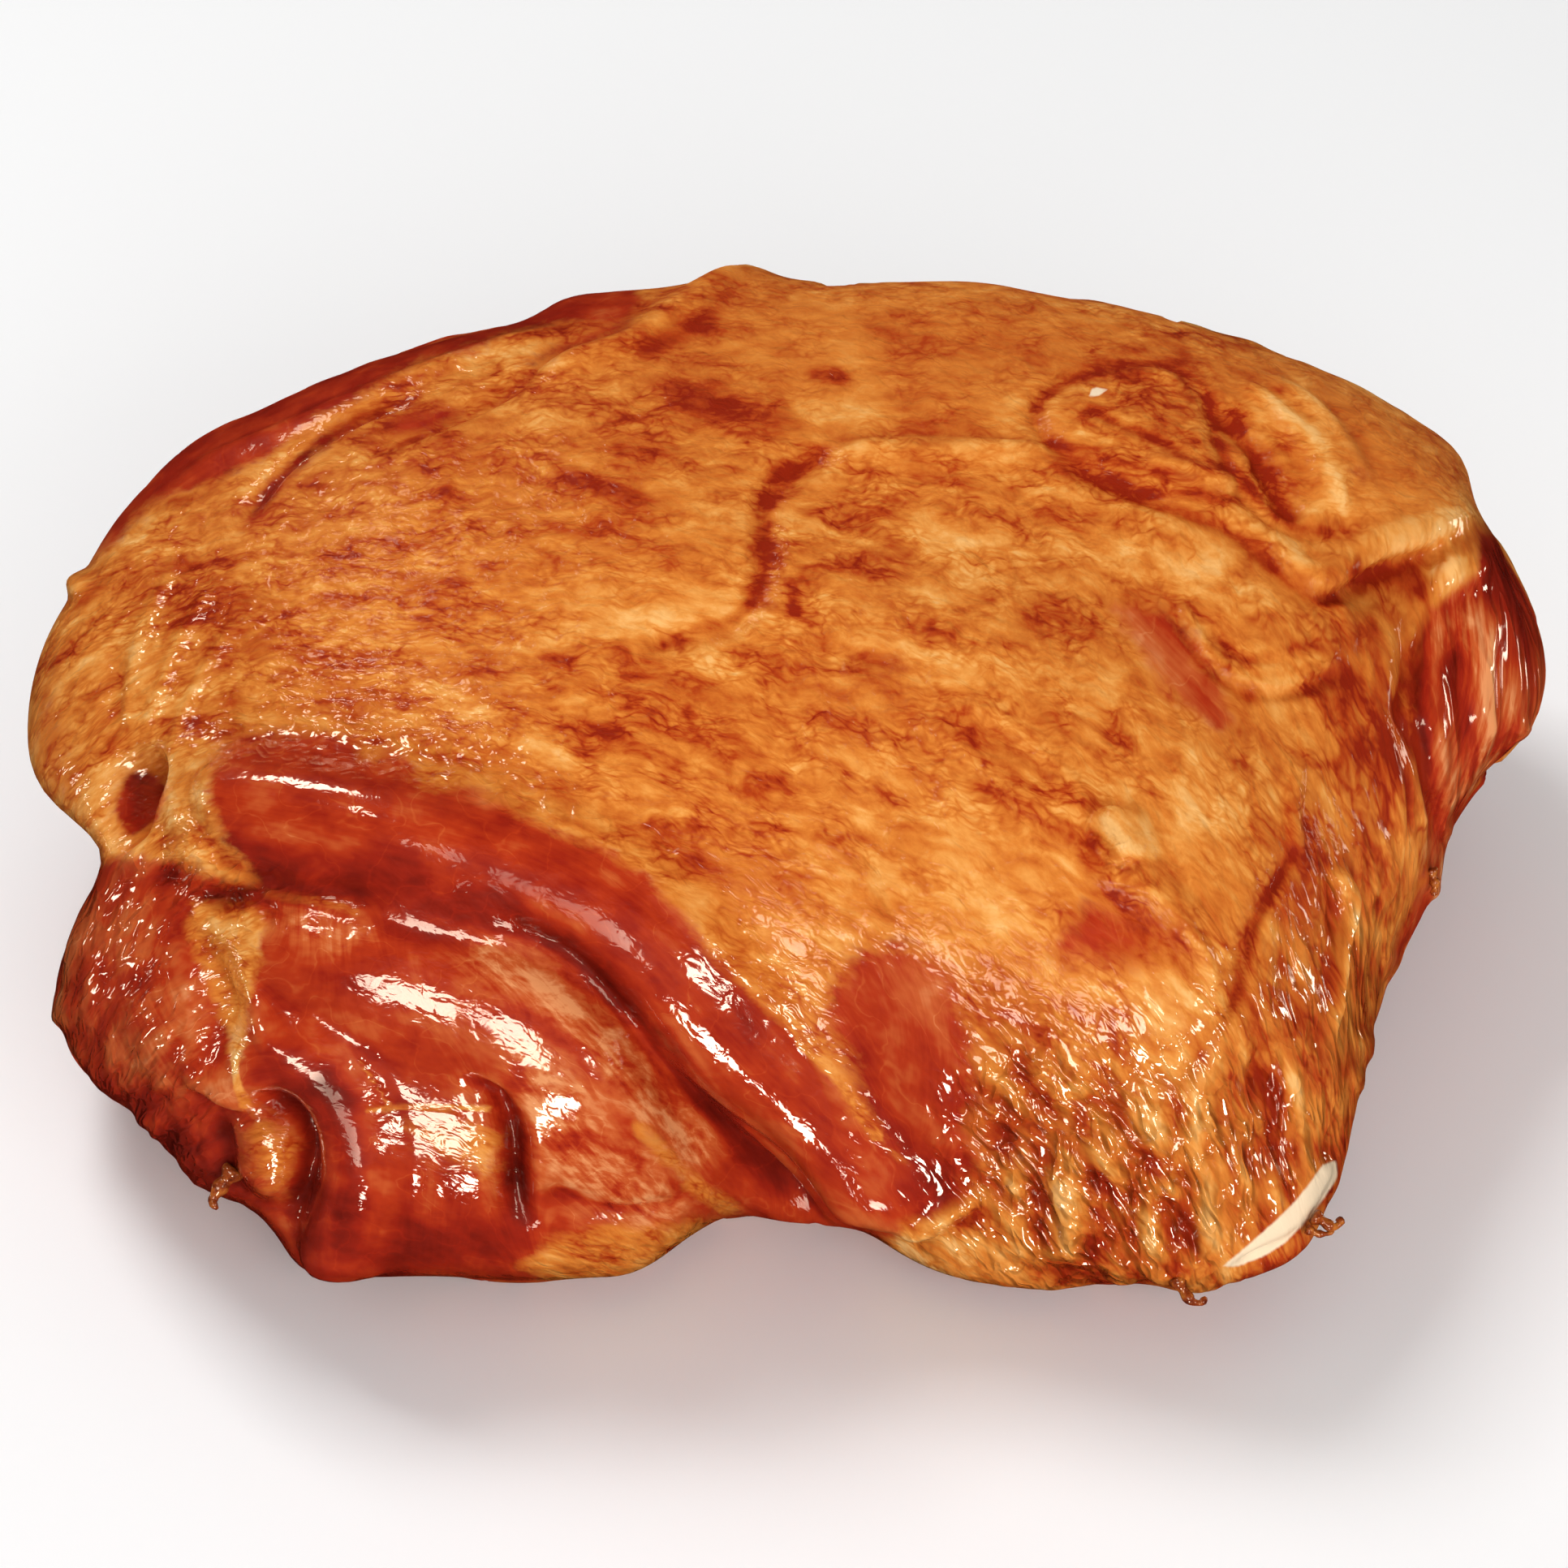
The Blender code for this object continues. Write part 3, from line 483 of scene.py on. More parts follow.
# The slope of the fat's grain, down to the right, by pixels across the picture, and how many steps it is
# summed in. It lies flat at this level, and is at least and at most so many times as steep.
GRAIN_SLOPES = (
    (0, -1.3), (150, -1.2), (230, -0.9), (350, -0.2), (480, 0.15), (600, 0.3), (900, 0.5), (1200, 0.45),
    (1400, 0.5), (1500, 0.7), (1620, 0.8), (1932, 0.8),
)
GRAIN_STEPS = 200
GRAIN_LEVEL = 115
GRAIN_STEEPNESS = (0.1, 1.6)

# How far grain and fibres run into the picture, as a share of the true depth.
DEPTH_SHARE = 0.4

# The muscles' fibres run along these curves, each of which counts as far as about this many pixels, and
# faintly everywhere.
FIBRE_REACH = 30
FAINT = 1e-9
FIBRES = (
    "250,985 430,1020 640,1074 790,1170 905,1302 1060,1458 1130,1500",
    "560,1150 700,1260 800,1370 880,1480",
    "650,1310 720,1400 800,1480",
    "400,1130 420,1250 460,1340",
    "520,1370 500,1560",
    "316,1306 383,1316 426,1406 405,1520",
    "150,1080 130,1200 180,1330 260,1440",
    "1110,1160 1150,1250 1160,1400 1130,1480",
    "1840,680 1850,850 1800,1000 1780,1060",
    "130,640 300,520 500,440 700,375",
    "1400,745 1500,850",
    "1300,1120 1420,1200",
)

# Behind, where the photograph doesn't reach, lean meat shows under the fat below this height, by azimuth
# in degrees; the lumps of that border (height, size, seed) and its width; and how wet it is there.
LEAN_BEHIND = ((0, 46), (30, 34), (60, 30), (85, 40), (100, 80), (112, 140), (180, 140), (240, 60), (300, 40))
BORDER_LUMPS = (12, 26, 25)
BORDER_WIDTH = 20
WET_BEHIND = 0.6

# Lumps of the rough places: height, size of a lump, seed; and how far they sink, as a share of their height.
ROUGHNESS = ((2.4, 6.5, 11), (1.3, 4, 12))
ROUGH_STRETCH = (1, 0.9, 1)
ROUGH_SINK = 0.4

# Behind there are lumps too, and winding seams between muscles: depth, width as a share of the lumps'
# height, size, seed.
LUMPS_BEHIND = ((1.6, 30, 21), (0.9, 12, 22), (0.4, 6, 23))
SEAMS_BEHIND = ((2.2, 0.07, 58, 24), (1, 0.08, 26, 25))

CHANNELS = ("lean", "tone", "blood_and_shade", "web", "wet", "rough", "ivory_and_glint", "calm")

# Hollows are found by softening the form: how often, how often again to even them out, and how deep is
# full. Painted shade darkens them and painted light makes crests paler, on smooth and how much more on
# rough meat, and painted shade deepens the lean meat's red in them.
HOLLOW_STEPS = 12
HOLLOW_SOFTENING = 3
HOLLOW_DEPTH = 0.55
HOLLOW_SHADE_TONES = (0.7, 0.4)
CREST_LIGHT_TONES = (0.5, 0.9)
HOLLOW_SHADE_BLOOD = 0.5

# Colours of the fat, from the darkest stain to the palest, and of the lean meat, from the deepest to its
# threads of fat.
FAT_COLOURS = (
    (0.0, (0.27, 0.016, 0.003)), (0.2, (0.42, 0.050, 0.006)), (0.42, (0.55, 0.13, 0.016)),
    (0.6, (0.66, 0.20, 0.028)), (0.78, (0.76, 0.30, 0.06)), (1.0, (0.85, 0.44, 0.14)),
)
LEAN_COLOURS = (
    (0.0, (0.08, 0.003, 0.001)), (0.25, (0.18, 0.008, 0.003)), (0.45, (0.30, 0.014, 0.004)),
    (0.62, (0.42, 0.032, 0.006)), (0.8, (0.54, 0.10, 0.022)), (1.0, (0.72, 0.27, 0.10)),
)
# Ivory fat, also used for a painted glint.
IVORY_AND_GLINT = (0.88, 0.68, 0.46)
SHRED_COLOURS = ((0.3, (0.10, 0.010, 0.002)), (0.5, (0.28, 0.045, 0.006)), (0.7, (0.50, 0.15, 0.02)))

# The floor and the sky, in metres.
FLOOR_SIZE = 8
FLOOR_COLOUR = (0.92, 0.92, 0.92, 1)
SKY_GLOW = 0.45

# The lamps: the way they lie from the point they light, their distance and size in metres, their glow, and
# whether they are a soft light or only mirrored in wet places.
LIT = (0, 0, 0.06)
SOFTBOX_COLOUR = (1, 0.84, 0.66)
LIGHTS = {
    "back left softbox": ((-0.46, 0.58, 0.66), 1.2, 0.3, 24, False),
    "left softbox": ((-0.58, -0.2, 0.75), 1.2, 0.2, 34, False),
    "front softbox": ((-0.12, -0.98, 0.14), 1.2, 0.44, 26, False),
    "front left softbox": ((-0.4, -0.86, 0.24), 1.2, 0.24, 22, False),
    "right softbox": ((0.66, -0.68, 0.14), 1.2, 0.24, 34, False),
    "low front softbox": ((0.02, -0.84, -0.5), 1.2, 0.26, 50, False),
    "low left softbox": ((-0.99, 0.07, -0.13), 1.2, 0.16, 24, False),
    "low right softbox": ((0.86, 0.42, -0.2), 1.2, 0.22, 18, False),
    "key": ((-0.35, 0.25, 0.9), 1.4, 0.5, 13, True),
    "fill": ((0.3, -0.9, 0.3), 1.6, 1.4, 3.2, True),
}


def traced(curve):
    """The points of a curve or an outline from its text."""
    return np.array([point.split(",") for point in curve.split()], float)


def unit(vectors):
    """Vectors brought to length 1."""
    return vectors / np.maximum(np.linalg.norm(vectors, axis=1), TINY)[:, None]


def ease(t):
    t = np.clip(t, 0, 1)
    return t * t * (3 - 2 * t)


def dome(share, power):
    """1 at a share of 0, falling to 0 at 1, and the fuller the lower the power."""
    return np.clip(1 - share**2, 0, 1) ** power


def box_sphere(nx, ny, nz):
    """Unit directions and quads of a sphere gridded like a box, with nx, ny and nz cells along its edges."""
    counts = (nx, ny, nz)
    index, corners, quads = {}, [], []
    for axis in range(3):
        a, b = (axis + 1) % 3, (axis + 2) % 3
        for side in (0, counts[axis]):
            for i in range(counts[a]):
                for j in range(counts[b]):
                    ring = [(i, j), (i + 1, j), (i + 1, j + 1), (i, j + 1)]
                    quad = []
                    for p, q in ring if side else ring[::-1]:
                        at = [0, 0, 0]
                        at[axis], at[a], at[b] = side, p, q
                        at = tuple(at)
                        if at not in index:
                            index[at] = len(corners)
                            corners.append(at)
                        quad.append(index[at])
                    quads.append(quad)
    return unit(np.tan((np.array(corners, float) / counts * 2 - 1) * math.pi / 4)), np.array(quads)


def spread(directions):
    """Directions pulled towards the plan, so that cells come out even on a low, wide body."""
    return unit(directions * SPREAD)


def around(table, angle):
    """A smooth closed curve through (degrees, value) pairs, read at angle in radians."""
    degrees, value = np.array(table, float).T
    at = np.radians(degrees)
    turn = 2 * math.pi
    angle = np.mod(angle - at[0], turn) + at[0]
    k = np.clip(np.searchsorted(at, angle, side="right") - 1, 0, len(table) - 1)
    after = (k + 1) % len(table)
    span = np.mod(at[after] - at[k], turn)
    t = (angle - at[k]) / span
    slope = (np.roll(value, -1) - np.roll(value, 1)) / np.mod(np.roll(at, -1) - np.roll(at, 1), turn)
    here = (1 + 2 * t) * (1 - t) ** 2 * value[k] + t * (1 - t) ** 2 * span * slope[k]
    return here + t * t * (3 - 2 * t) * value[after] + t * t * (t - 1) * span * slope[after]


def seen(points):
    """Pixels (right, down) and depth of points from the photograph's viewpoint."""
    x, y, z = points[:, 0], points[:, 1], points[:, 2] - VIEW_HEIGHT
    depth = VIEW_DISTANCE + y * COSINE - z * SINE
    scale = VIEW_SCALE / depth
    return np.stack([VIEW_MIDDLE + x * scale, VIEW_MIDDLE - (y * SINE + z * COSINE) * scale], 1), depth


def in_picture(pixels, depth):
    """Points that the photograph shows at these pixels, as far off as given."""
    x = (pixels[:, 0] - VIEW_MIDDLE) * depth / VIEW_SCALE
    up = (VIEW_MIDDLE - pixels[:, 1]) * depth / VIEW_SCALE
    back = depth - VIEW_DISTANCE
    return np.column_stack([x, up * SINE + back * COSINE, up * COSINE - back * SINE + VIEW_HEIGHT])


def towards(points):
    """Unit directions from points to the photograph's viewpoint."""
    return unit(np.array((0, -COSINE * VIEW_DISTANCE, SINE * VIEW_DISTANCE + VIEW_HEIGHT)) - points)


def polar(pixels):
    """Bearing and distance of pixels from the picture's middle."""
    off = (pixels - VIEW_MIDDLE) * (1, -1)
    return np.arctan2(off[:, 1], off[:, 0]), np.hypot(off[:, 0], off[:, 1])


def plain_form(directions):
    azimuth = np.arctan2(directions[:, 1], directions[:, 0])
    level = np.hypot(directions[:, 0], directions[:, 1])
    rise = directions[:, 2]
    tall = np.where(rise > 0, CROWN, KEEL)
    power = SQUARENESS
    reach = ((level / around(PLAN, azimuth)) ** power + (np.abs(rise) / tall) ** power) ** (-1 / power)
    return directions * reach[:, None] + (0, 0, CORE_HEIGHT)


def bearings():
    return (np.arange(OUTLINE_STEPS) + 0.5) / OUTLINE_STEPS * 2 * math.pi - math.pi


def evened(values, width):
    """A closed row of values, each a bell-shaped mean over its neighbours."""
    off = np.arange(-3 * width, 3 * width + 1)
    bell = np.exp(-0.5 * (off / width) ** 2)
    return sum(np.roll(values, k) * b for k, b in zip(off, bell)) / bell.sum()


def outline_gain(points, width):
    """A body's outline around the view's middle, by bearing, and how much further out the wanted one is."""
    bearing, radius = polar(seen(points)[0])
    slot = ((bearing + math.pi) / (2 * math.pi) * OUTLINE_STEPS).astype(int) % OUTLINE_STEPS
    reach = np.zeros(OUTLINE_STEPS)
    np.maximum.at(reach, slot, radius)
    reach = evened(reach, 2)
    bearing, radius = polar(traced(OUTLINE))
    order = np.argsort(bearing)
    wanted = around(np.column_stack([np.degrees(bearing), radius])[order], bearings())
    return reach, evened(wanted / reach, width)


def push(points, reach, gain, hold):
    """Points moved level, so that the outline seen grows by the gain and what lies inside it hardly moves."""
    pixels, depth = seen(points)
    bearing, radius = polar(pixels)
    share = np.clip(radius / np.interp(bearing, bearings(), reach, period=2 * math.pi), 0, 1) ** hold
    growth = np.interp(bearing, bearings(), gain, period=2 * math.pi) - 1
    move = radius * growth * share * depth / VIEW_SCALE
    out = points.copy()
    out[:, 0] += move * np.cos(bearing)
    out[:, 1] += move * np.sin(bearing) / SINE
    return out


def vertex_normals(points, quads):
    a, b, c, d = (points[quads[:, k]] for k in range(4))
    face = np.cross(c - a, d - b)
    out = np.zeros_like(points)
    for k in range(4):
        np.add.at(out, quads[:, k], face)
    return unit(out)


def smooth_line(points, step):
    """Points every step or so along a smooth curve through the given ones."""
    ends = np.vstack([2 * points[0] - points[1], points, 2 * points[-1] - points[-2]])
    line = []
    for p0, p1, p2, p3 in zip(ends, ends[1:], ends[2:], ends[3:]):
        count = max(1, int(np.linalg.norm(p2 - p1) / step))
        for t in np.arange(count) / count:
            line.append(0.5 * (2 * p1 + (p2 - p0) * t + (2 * p0 - 5 * p1 + 4 * p2 - p3) * t**2
                               + (3 * p1 - p0 - 3 * p2 + p3) * t**3))
    return np.array(line + [points[-1]])


class Form:
    """The plain form at its fitted outline, the pushes that follow the relief, and what pixels fall on."""

    def __init__(self):
        directions, quads = box_sphere(*REFERENCE_GRID)
        points = plain_form(spread(directions))
        self.broad = []
        for width, hold in BROAD_FITS:
            self.broad.append((*outline_gain(points, width), hold))
            points = push(points, *self.broad[-1])
        normals = vertex_normals(points, quads)
        self.facing = points[normals @ (0, -COSINE, SINE) > FACING]
        self.pixels = seen(self.facing)[0]
        points = points + normals * rise_of(self, points, normals)[:, None]
        self.close = []
        for width, hold in CLOSE_FITS:
            self.close.append((*outline_gain(points, width), hold))
            points = push(points, *self.close[-1])

    def at(self, directions):
        points = plain_form(spread(directions))
        for step in self.broad:
            points = push(points, *step)
        return points

    def under(self, pixels):
        """The points of the form that these pixels show, as means of the reference grid's nearest points."""
        found = []
        for pixel in pixels:
            gap = np.hypot(*(self.pixels - pixel).T)
            near = np.argpartition(gap, NEAREST)[:NEAREST]
            weight = 1 / (gap[near] + 1) ** 2
            found.append((self.facing[near] * weight[:, None]).sum(0) / weight.sum())
        return np.array(found)


class Stroke:
    """The points near a line: how far off they lie, as a share of its reach, and a taper to its ends."""

    def __init__(self, line, left, right, points, normals):
        reach = max(left, right)
        low, high = line.min(0) - reach, line.max(0) + reach
        self.index = np.nonzero(((points > low) & (points < high)).all(1))[0]
        p, n = points[self.index], normals[self.index]
        legs = np.linalg.norm(np.diff(line, axis=0), axis=1)
        before = np.concatenate([[0], np.cumsum(legs)])
        distance = np.full(len(p), np.inf)
        self.side = np.zeros(len(p))
        along = np.zeros(len(p))
        for a, b, leg, start in zip(line, line[1:], legs, before):
            way = (b - a) / leg
            t = np.clip((p - a) @ way, 0, leg)
            off = p - a - t[:, None] * way
            gap = np.linalg.norm(off, axis=1)
            closer = gap < distance
            distance[closer] = gap[closer]
            along[closer] = (start + t)[closer]
            self.side[closer] = np.einsum("ij,ij->i", np.cross(way, n), off)[closer]
        self.right = ease(0.5 + self.side / (SIDE_FADE * reach))
        self.share = distance / (left + (right - left) * self.right)
        self.taper = ease(np.minimum(along, before[-1] - along) / min(2 * reach, before[-1] / 2))
        self.passed = ease(along / before[-1])


def rising_roll(stroke):
    slack = 1 + ROLL_SLACK * stroke.right * (1 - stroke.passed)
    return dome(stroke.share / slack, ROLL_POWER - stroke.right * stroke.passed)


def sharp(stroke, power):
    return np.clip(1 - stroke.share, 0, 1) ** power


PROFILES = {
    "swell": lambda stroke: dome(stroke.share, 3),
    "roll": lambda stroke: dome(stroke.share, ROLL_POWER - stroke.right),
    "rising roll": rising_roll,
    "ridge": lambda stroke: stroke.taper * dome(stroke.share, 2),
    "crease": lambda stroke: stroke.taper * sharp(stroke, 1.6),
    "lip": lambda stroke: stroke.taper * ease(0.5 + stroke.side / LIP_EDGE) * sharp(stroke, 1.5),
}


def lumps(points, size, seed):
    """Smooth random heights between about -1 and 1, with lumps of the given size."""
    lattice = np.random.RandomState(seed).uniform(-1, 1, (LATTICE,) * 3)
    at = points / size
    cell = np.floor(at).astype(int)
    t = ease(at - cell)
    total = np.zeros(len(points))
    for corner in np.ndindex(2, 2, 2):
        weight = np.prod(np.where(corner, t, 1 - t), axis=1)
        total += weight * lattice[tuple(np.mod(cell + corner, LATTICE).T)]
    return total


def rise_of(form, points, normals):
    """How far each point moves out along its normal."""
    rise = sum(height * lumps(points, size, seed) for height, size, seed in LUMPS)
    for kind, height, left, right, curve in RELIEF.values():
        line = smooth_line(form.under(traced(curve)), RELIEF_STEP)
        stroke = Stroke(line, left, right, points, normals)
        rise[stroke.index] += height * PROFILES[kind](stroke)
    return rise


def flat(pixels):
    """Pixels as points of a plane that is seen from above."""
    return np.column_stack([pixels[:, 0], -pixels[:, 1], np.zeros(len(pixels))])


class Picture:
    """Where the photograph shows each point, and what curves and outlines in it mean for them."""

    def __init__(self, points, front):
        self.at = flat(seen(points)[0])
        self.up = np.zeros_like(self.at)
        self.up[:, 2] = 1
        self.front = front

    def stroke(self, curve, left, right):
        return Stroke(smooth_line(flat(traced(curve)), STROKE_STEP), left, right, self.at, self.up)

    def spot(self, curve, reach):
        """1 on the curve, falling to 0 at its reach."""
        stroke = self.stroke(curve, reach, reach)
        value = np.zeros(len(self.at))
        value[stroke.index] = dome(stroke.share, 1.5)
        return value * self.front

    def strokes(self, rows):
        """The highest of the strokes given as (amount, reach, curve)."""
        return np.max([amount * self.spot(curve, reach) for amount, reach, curve in rows], axis=0)

    def area(self, outline, soft):
        """1 well inside the outline, 0 well outside it and for points that the photograph doesn't show."""
        ring = flat(traced(outline))[:, :2]
        low, high = ring.min(0) - soft, ring.max(0) + soft
        index = np.nonzero(((self.at[:, :2] > low) & (self.at[:, :2] < high)).all(1))[0]
        at = self.at[index, :2]
        inside = np.zeros(len(index), bool)
        gap = np.full(len(index), np.inf)
        for a, b in zip(ring, np.roll(ring, -1, axis=0)):
            crosses = (a[1] > at[:, 1]) != (b[1] > at[:, 1])
            rise = b[1] - a[1]
            if rise:
                inside ^= crosses & (at[:, 0] < a[0] + (b[0] - a[0]) * (at[:, 1] - a[1]) / rise)
            way = b - a
            t = np.clip((at - a) @ way / (way @ way), 0, 1)
            gap = np.minimum(gap, np.linalg.norm(at - a - t[:, None] * way, axis=1))
        value = np.zeros(len(self.at))
        value[index] = np.clip(0.5 + np.where(inside, gap, -gap) / (2 * soft), 0, 1)
        return value * self.front

    def areas(self, rows):
        """The highest of the areas given as (amount, softness, outline)."""
        return np.max([amount * self.area(outline, soft) for amount, soft, outline in rows], axis=0)

    def rough(self):
        return self.areas(ROUGH_AREAS) * (1 - self.areas(IVORY_AND_GLINT_AREAS))


def softened(points, quads, times):
    """Points drawn half way to the mean of their neighbours, a few times over."""
    a = quads.ravel()
    b = np.roll(quads, -1, axis=1).ravel()
    count = np.bincount(np.concatenate([a, b]), minlength=len(points))[:, None]
    for _ in range(times):
        near = np.zeros_like(points)
        for axis, values in enumerate(points.T):
            near[:, axis] = np.bincount(a, values[b], len(points)) + np.bincount(b, values[a], len(points))
        points = (points + near / count) / 2
    return points


def fine_shape(form):
    """The ham as a fine mesh: points, quads, and 1 where the photograph shows a point, down to 0 behind."""
    directions, quads = box_sphere(*FINE_GRID)
    points = form.at(unit(directions + CROWDING))
    normals = vertex_normals(points, quads)
    front = ease(0.5 + np.einsum("ij,ij->i", normals, towards(points)) / FRONT_FADE)
    points = points + normals * rise_of(form, points, normals)[:, None]
    points = softened(points, quads, FORM_SOFTENING)
    for step in form.close:
        points = push(points, *step)
    normals = vertex_normals(points, quads)
    picture = Picture(points, front)
    rise = np.zeros(len(points))
    for kind, height, left, right, curve in FOLDS.values():
        stroke = picture.stroke(curve, left, right)
        rise[stroke.index] += height * PROFILES[kind](stroke)
    for height, size, seed in ROUGHNESS:
        rise += picture.rough() * height * (lumps(grain(points) / ROUGH_STRETCH, size, seed) - ROUGH_SINK)
    hidden = sum(height * lumps(points, size, seed) for height, size, seed in LUMPS_BEHIND)
    for depth, width, size, seed in SEAMS_BEHIND:
        hidden -= depth * ease(1 - np.abs(lumps(points, size, seed)) / width)
    points = points + normals * (rise * front + hidden * (1 - front))[:, None]
    points[:, 2] = np.maximum(points[:, 2], 0)
    return points, quads, front


def grain(points):
    """Millimetres along the fat's grain, across it and into the picture."""
    x, y, z = points.T
    up = y * SINE + z * COSINE
    columns, slopes = np.array(GRAIN_SLOPES, float).T
    at = np.linspace(0, columns[-1], GRAIN_STEPS)
    fallen = np.cumsum(np.interp(at, columns, slopes)) * at[1]
    fallen -= fallen[GRAIN_STEPS // 2]
    steepness = np.clip(1 - up / GRAIN_LEVEL, *GRAIN_STEEPNESS)
    across = up + np.interp(VIEW_MIDDLE + x / PIXEL, at, fallen) * PIXEL * steepness
    return np.column_stack([x, across, (y * COSINE - z * SINE) * DEPTH_SHARE])


def fibres(points):
    """Millimetres along and across the muscles near by, and into the picture."""
    pixels, depth = seen(points)
    at = flat(pixels)[:, :2]
    total = np.full(len(points), FAINT)
    along, across = np.zeros(len(points)), np.zeros(len(points))
    for curve in FIBRES:
        line = smooth_line(flat(traced(curve)), FIBRE_STEP)[:, :2]
        nearest = np.full(len(points), np.inf)
        far, side = np.zeros(len(points)), np.zeros(len(points))
        start = 0
        for a, b in zip(line, line[1:]):
            leg = np.linalg.norm(b - a)
            way = (b - a) / leg
            t = (at - a) @ way
            gap = np.linalg.norm(at - a - np.clip(t, 0, leg)[:, None] * way, axis=1)
            closer = gap < nearest
            nearest[closer] = gap[closer]
            far[closer] = start + t[closer]
            side[closer] = ((at - a) @ (way[1], -way[0]))[closer]
            start += leg
        weight = np.exp(-nearest / FIBRE_REACH) + FAINT / (1 + nearest)
        total += weight
        along += weight * far
        across += weight * side
    return np.column_stack([along / total * PIXEL, across / total * PIXEL, depth * DEPTH_SHARE])


def painted(points, quads, front):
    """Each channel's value at each point."""
    picture = Picture(points, front)
    inwards = softened(points, quads, HOLLOW_STEPS) - points
    sunk = np.einsum("ij,ij->i", inwards, vertex_normals(points, quads))
    hollow = np.clip(softened(sunk[:, None], quads, HOLLOW_SOFTENING)[:, 0] / HOLLOW_DEPTH, -1, 1)
    rough = picture.rough()
    lean = np.minimum(picture.areas(LEAN_AREAS.values()), 1 - picture.areas(FAT_AREAS.values()))
    lean = np.minimum(lean, 1 - picture.strokes(FAT_STROKES.values()))
    height, size, seed = BORDER_LUMPS
    border = around(LEAN_BEHIND, np.arctan2(points[:, 1], points[:, 0])) + height * lumps(points, size, seed)
    behind = np.clip(0.5 + (border - points[:, 2]) / BORDER_WIDTH, 0, 1)
    lean = np.maximum(lean, behind * (1 - front))
    tone = sum(amount * picture.spot(curve, reach) for amount, reach, curve in TONES)
    # Painted shade in the form's hollows and painted light on its crests.
    smooth_shading, rough_shading = np.where(hollow[:, None] > 0, HOLLOW_SHADE_TONES, CREST_LIGHT_TONES).T
    tone -= (smooth_shading + rough_shading * rough) * hollow
    wet = np.maximum(picture.areas(WET_AREAS), WET_BEHIND * (1 - front))
    for amount, reach, curve in DRY_STROKES:
        wet *= 1 - amount * picture.spot(curve, reach)
    # Blood also carries painted shade in the hollows.
    return {
        "lean": lean, "tone": tone, "blood_and_shade": np.maximum(picture.strokes(BLOOD_AND_SHADE), HOLLOW_SHADE_BLOOD * hollow),
        "web": picture.strokes(WEBS), "wet": wet, "rough": rough,
        "ivory_and_glint": picture.areas(IVORY_AND_GLINT_AREAS), "calm": picture.areas(CALM_AREAS),
    }


class Net:
    """A material's nodes, with short ways to add to them."""

    def __init__(self, name):
        self.material = bpy.data.materials.new(name)
        self.material.use_nodes = True
        self.tree = self.material.node_tree
        self.shader = self.tree.nodes["Principled BSDF"]

    def put(self, value, socket):
        if isinstance(value, bpy.types.NodeSocket):
            self.tree.links.new(value, socket)
        else:
            socket.default_value = value

    def shaded(self, inputs):
        """The material, once its shader's inputs are set."""
        for name, value in inputs.items():
            self.put(value, self.shader.inputs[name])
        return self.material

    def node(self, kind, inputs, out, **settings):
        node = self.tree.nodes.new("ShaderNode" + kind)
        for name, value in settings.items():
            setattr(node, name, value)
        for name, value in inputs.items():
            self.put(value, node.inputs[name])
        return node.outputs[out]

    def attribute(self, name, out="Fac"):
        return self.node("Attribute", {}, out, attribute_name=name)

    def math(self, a, b, operation):
        return self.node("Math", {0: a, 1: b}, 0, operation=operation)

    def vector(self, a, b, operation):
        return self.node("VectorMath", {0: a, 1: b}, 0, operation=operation)

    def times(self, a, b):
        return self.math(a, b, "MULTIPLY")

    def sum(self, first, *rest):
        """A value plus others, each of them given as (value, times) or as it is."""
        for part in rest:
            if isinstance(part, tuple):
                part = self.times(*part)
            first = self.math(first, part, "ADD")
        return first

    def off(self, value):
        """How far a noise's value is off its middle."""
        return self.math(value, 0.5, "SUBTRACT")

    def apart(self, value):
        """How far a noise's value is off its middle, either way."""
        return self.node("Math", {0: self.off(value)}, 0, operation="ABSOLUTE")

    def step(self, value, low, high):
        """0 at low, 1 at high and smooth between them; low may be the higher."""
        inputs = {"Value": value, "From Min": low, "From Max": high}
        return self.node("MapRange", inputs, 0, interpolation_type="SMOOTHSTEP")

    def noise(self, vector, sizes, detail=3, roughness=0.55, out="Fac"):
        """A noise whose lumps have these sizes along the vector's three directions."""
        at = self.vector(vector, sizes, "DIVIDE")
        inputs = {"Vector": at, "Scale": 1, "Detail": detail, "Roughness": roughness}
        return self.node("TexNoise", inputs, out)

    def veins(self, vector, sizes, thick, detail=2):
        """1 along winding lines, 0 this far off them, as a share of the noise's range."""
        return self.step(self.apart(self.noise(vector, sizes, detail, 0.5)), thick, 0)

    def seams(self, vector, sizes, thick):
        """1 between cells of these sizes, 0 this far inside them, as a share of their size."""
        at = self.vector(vector, sizes, "DIVIDE")
        gap = self.node("TexVoronoi", {"Vector": at, "Scale": 1}, "Distance", feature="DISTANCE_TO_EDGE")
        return self.step(gap, thick, 0)

    def shaken(self, vector, size, by):
        """A vector moved by up to about half of by, over the given size."""
        noise = self.noise(vector, (size,) * 3, 1, 0.5, "Color")
        far = self.vector(self.vector(noise, (0.5, 0.5, 0.5), "SUBTRACT"), (by,) * 3, "MULTIPLY")
        return self.vector(far, vector, "ADD")

    def palette(self, value, colours):
        node = self.tree.nodes.new("ShaderNodeValToRGB")
        self.put(value, node.inputs[0])
        stops = node.color_ramp.elements
        while len(stops) < len(colours):
            stops.new(0.5)
        for stop, (place, colour) in zip(stops, colours):
            stop.position = place
            stop.color = (*colour, 1)
        return node.outputs[0]

    def mix(self, factor, a, b):
        return self.node("Mix", {0: factor, 6: a, 7: b}, 2, data_type="RGBA")

    def blend(self, factor, a, b):
        return self.node("Mix", {0: factor, 2: a, 3: b}, 0, data_type="FLOAT")


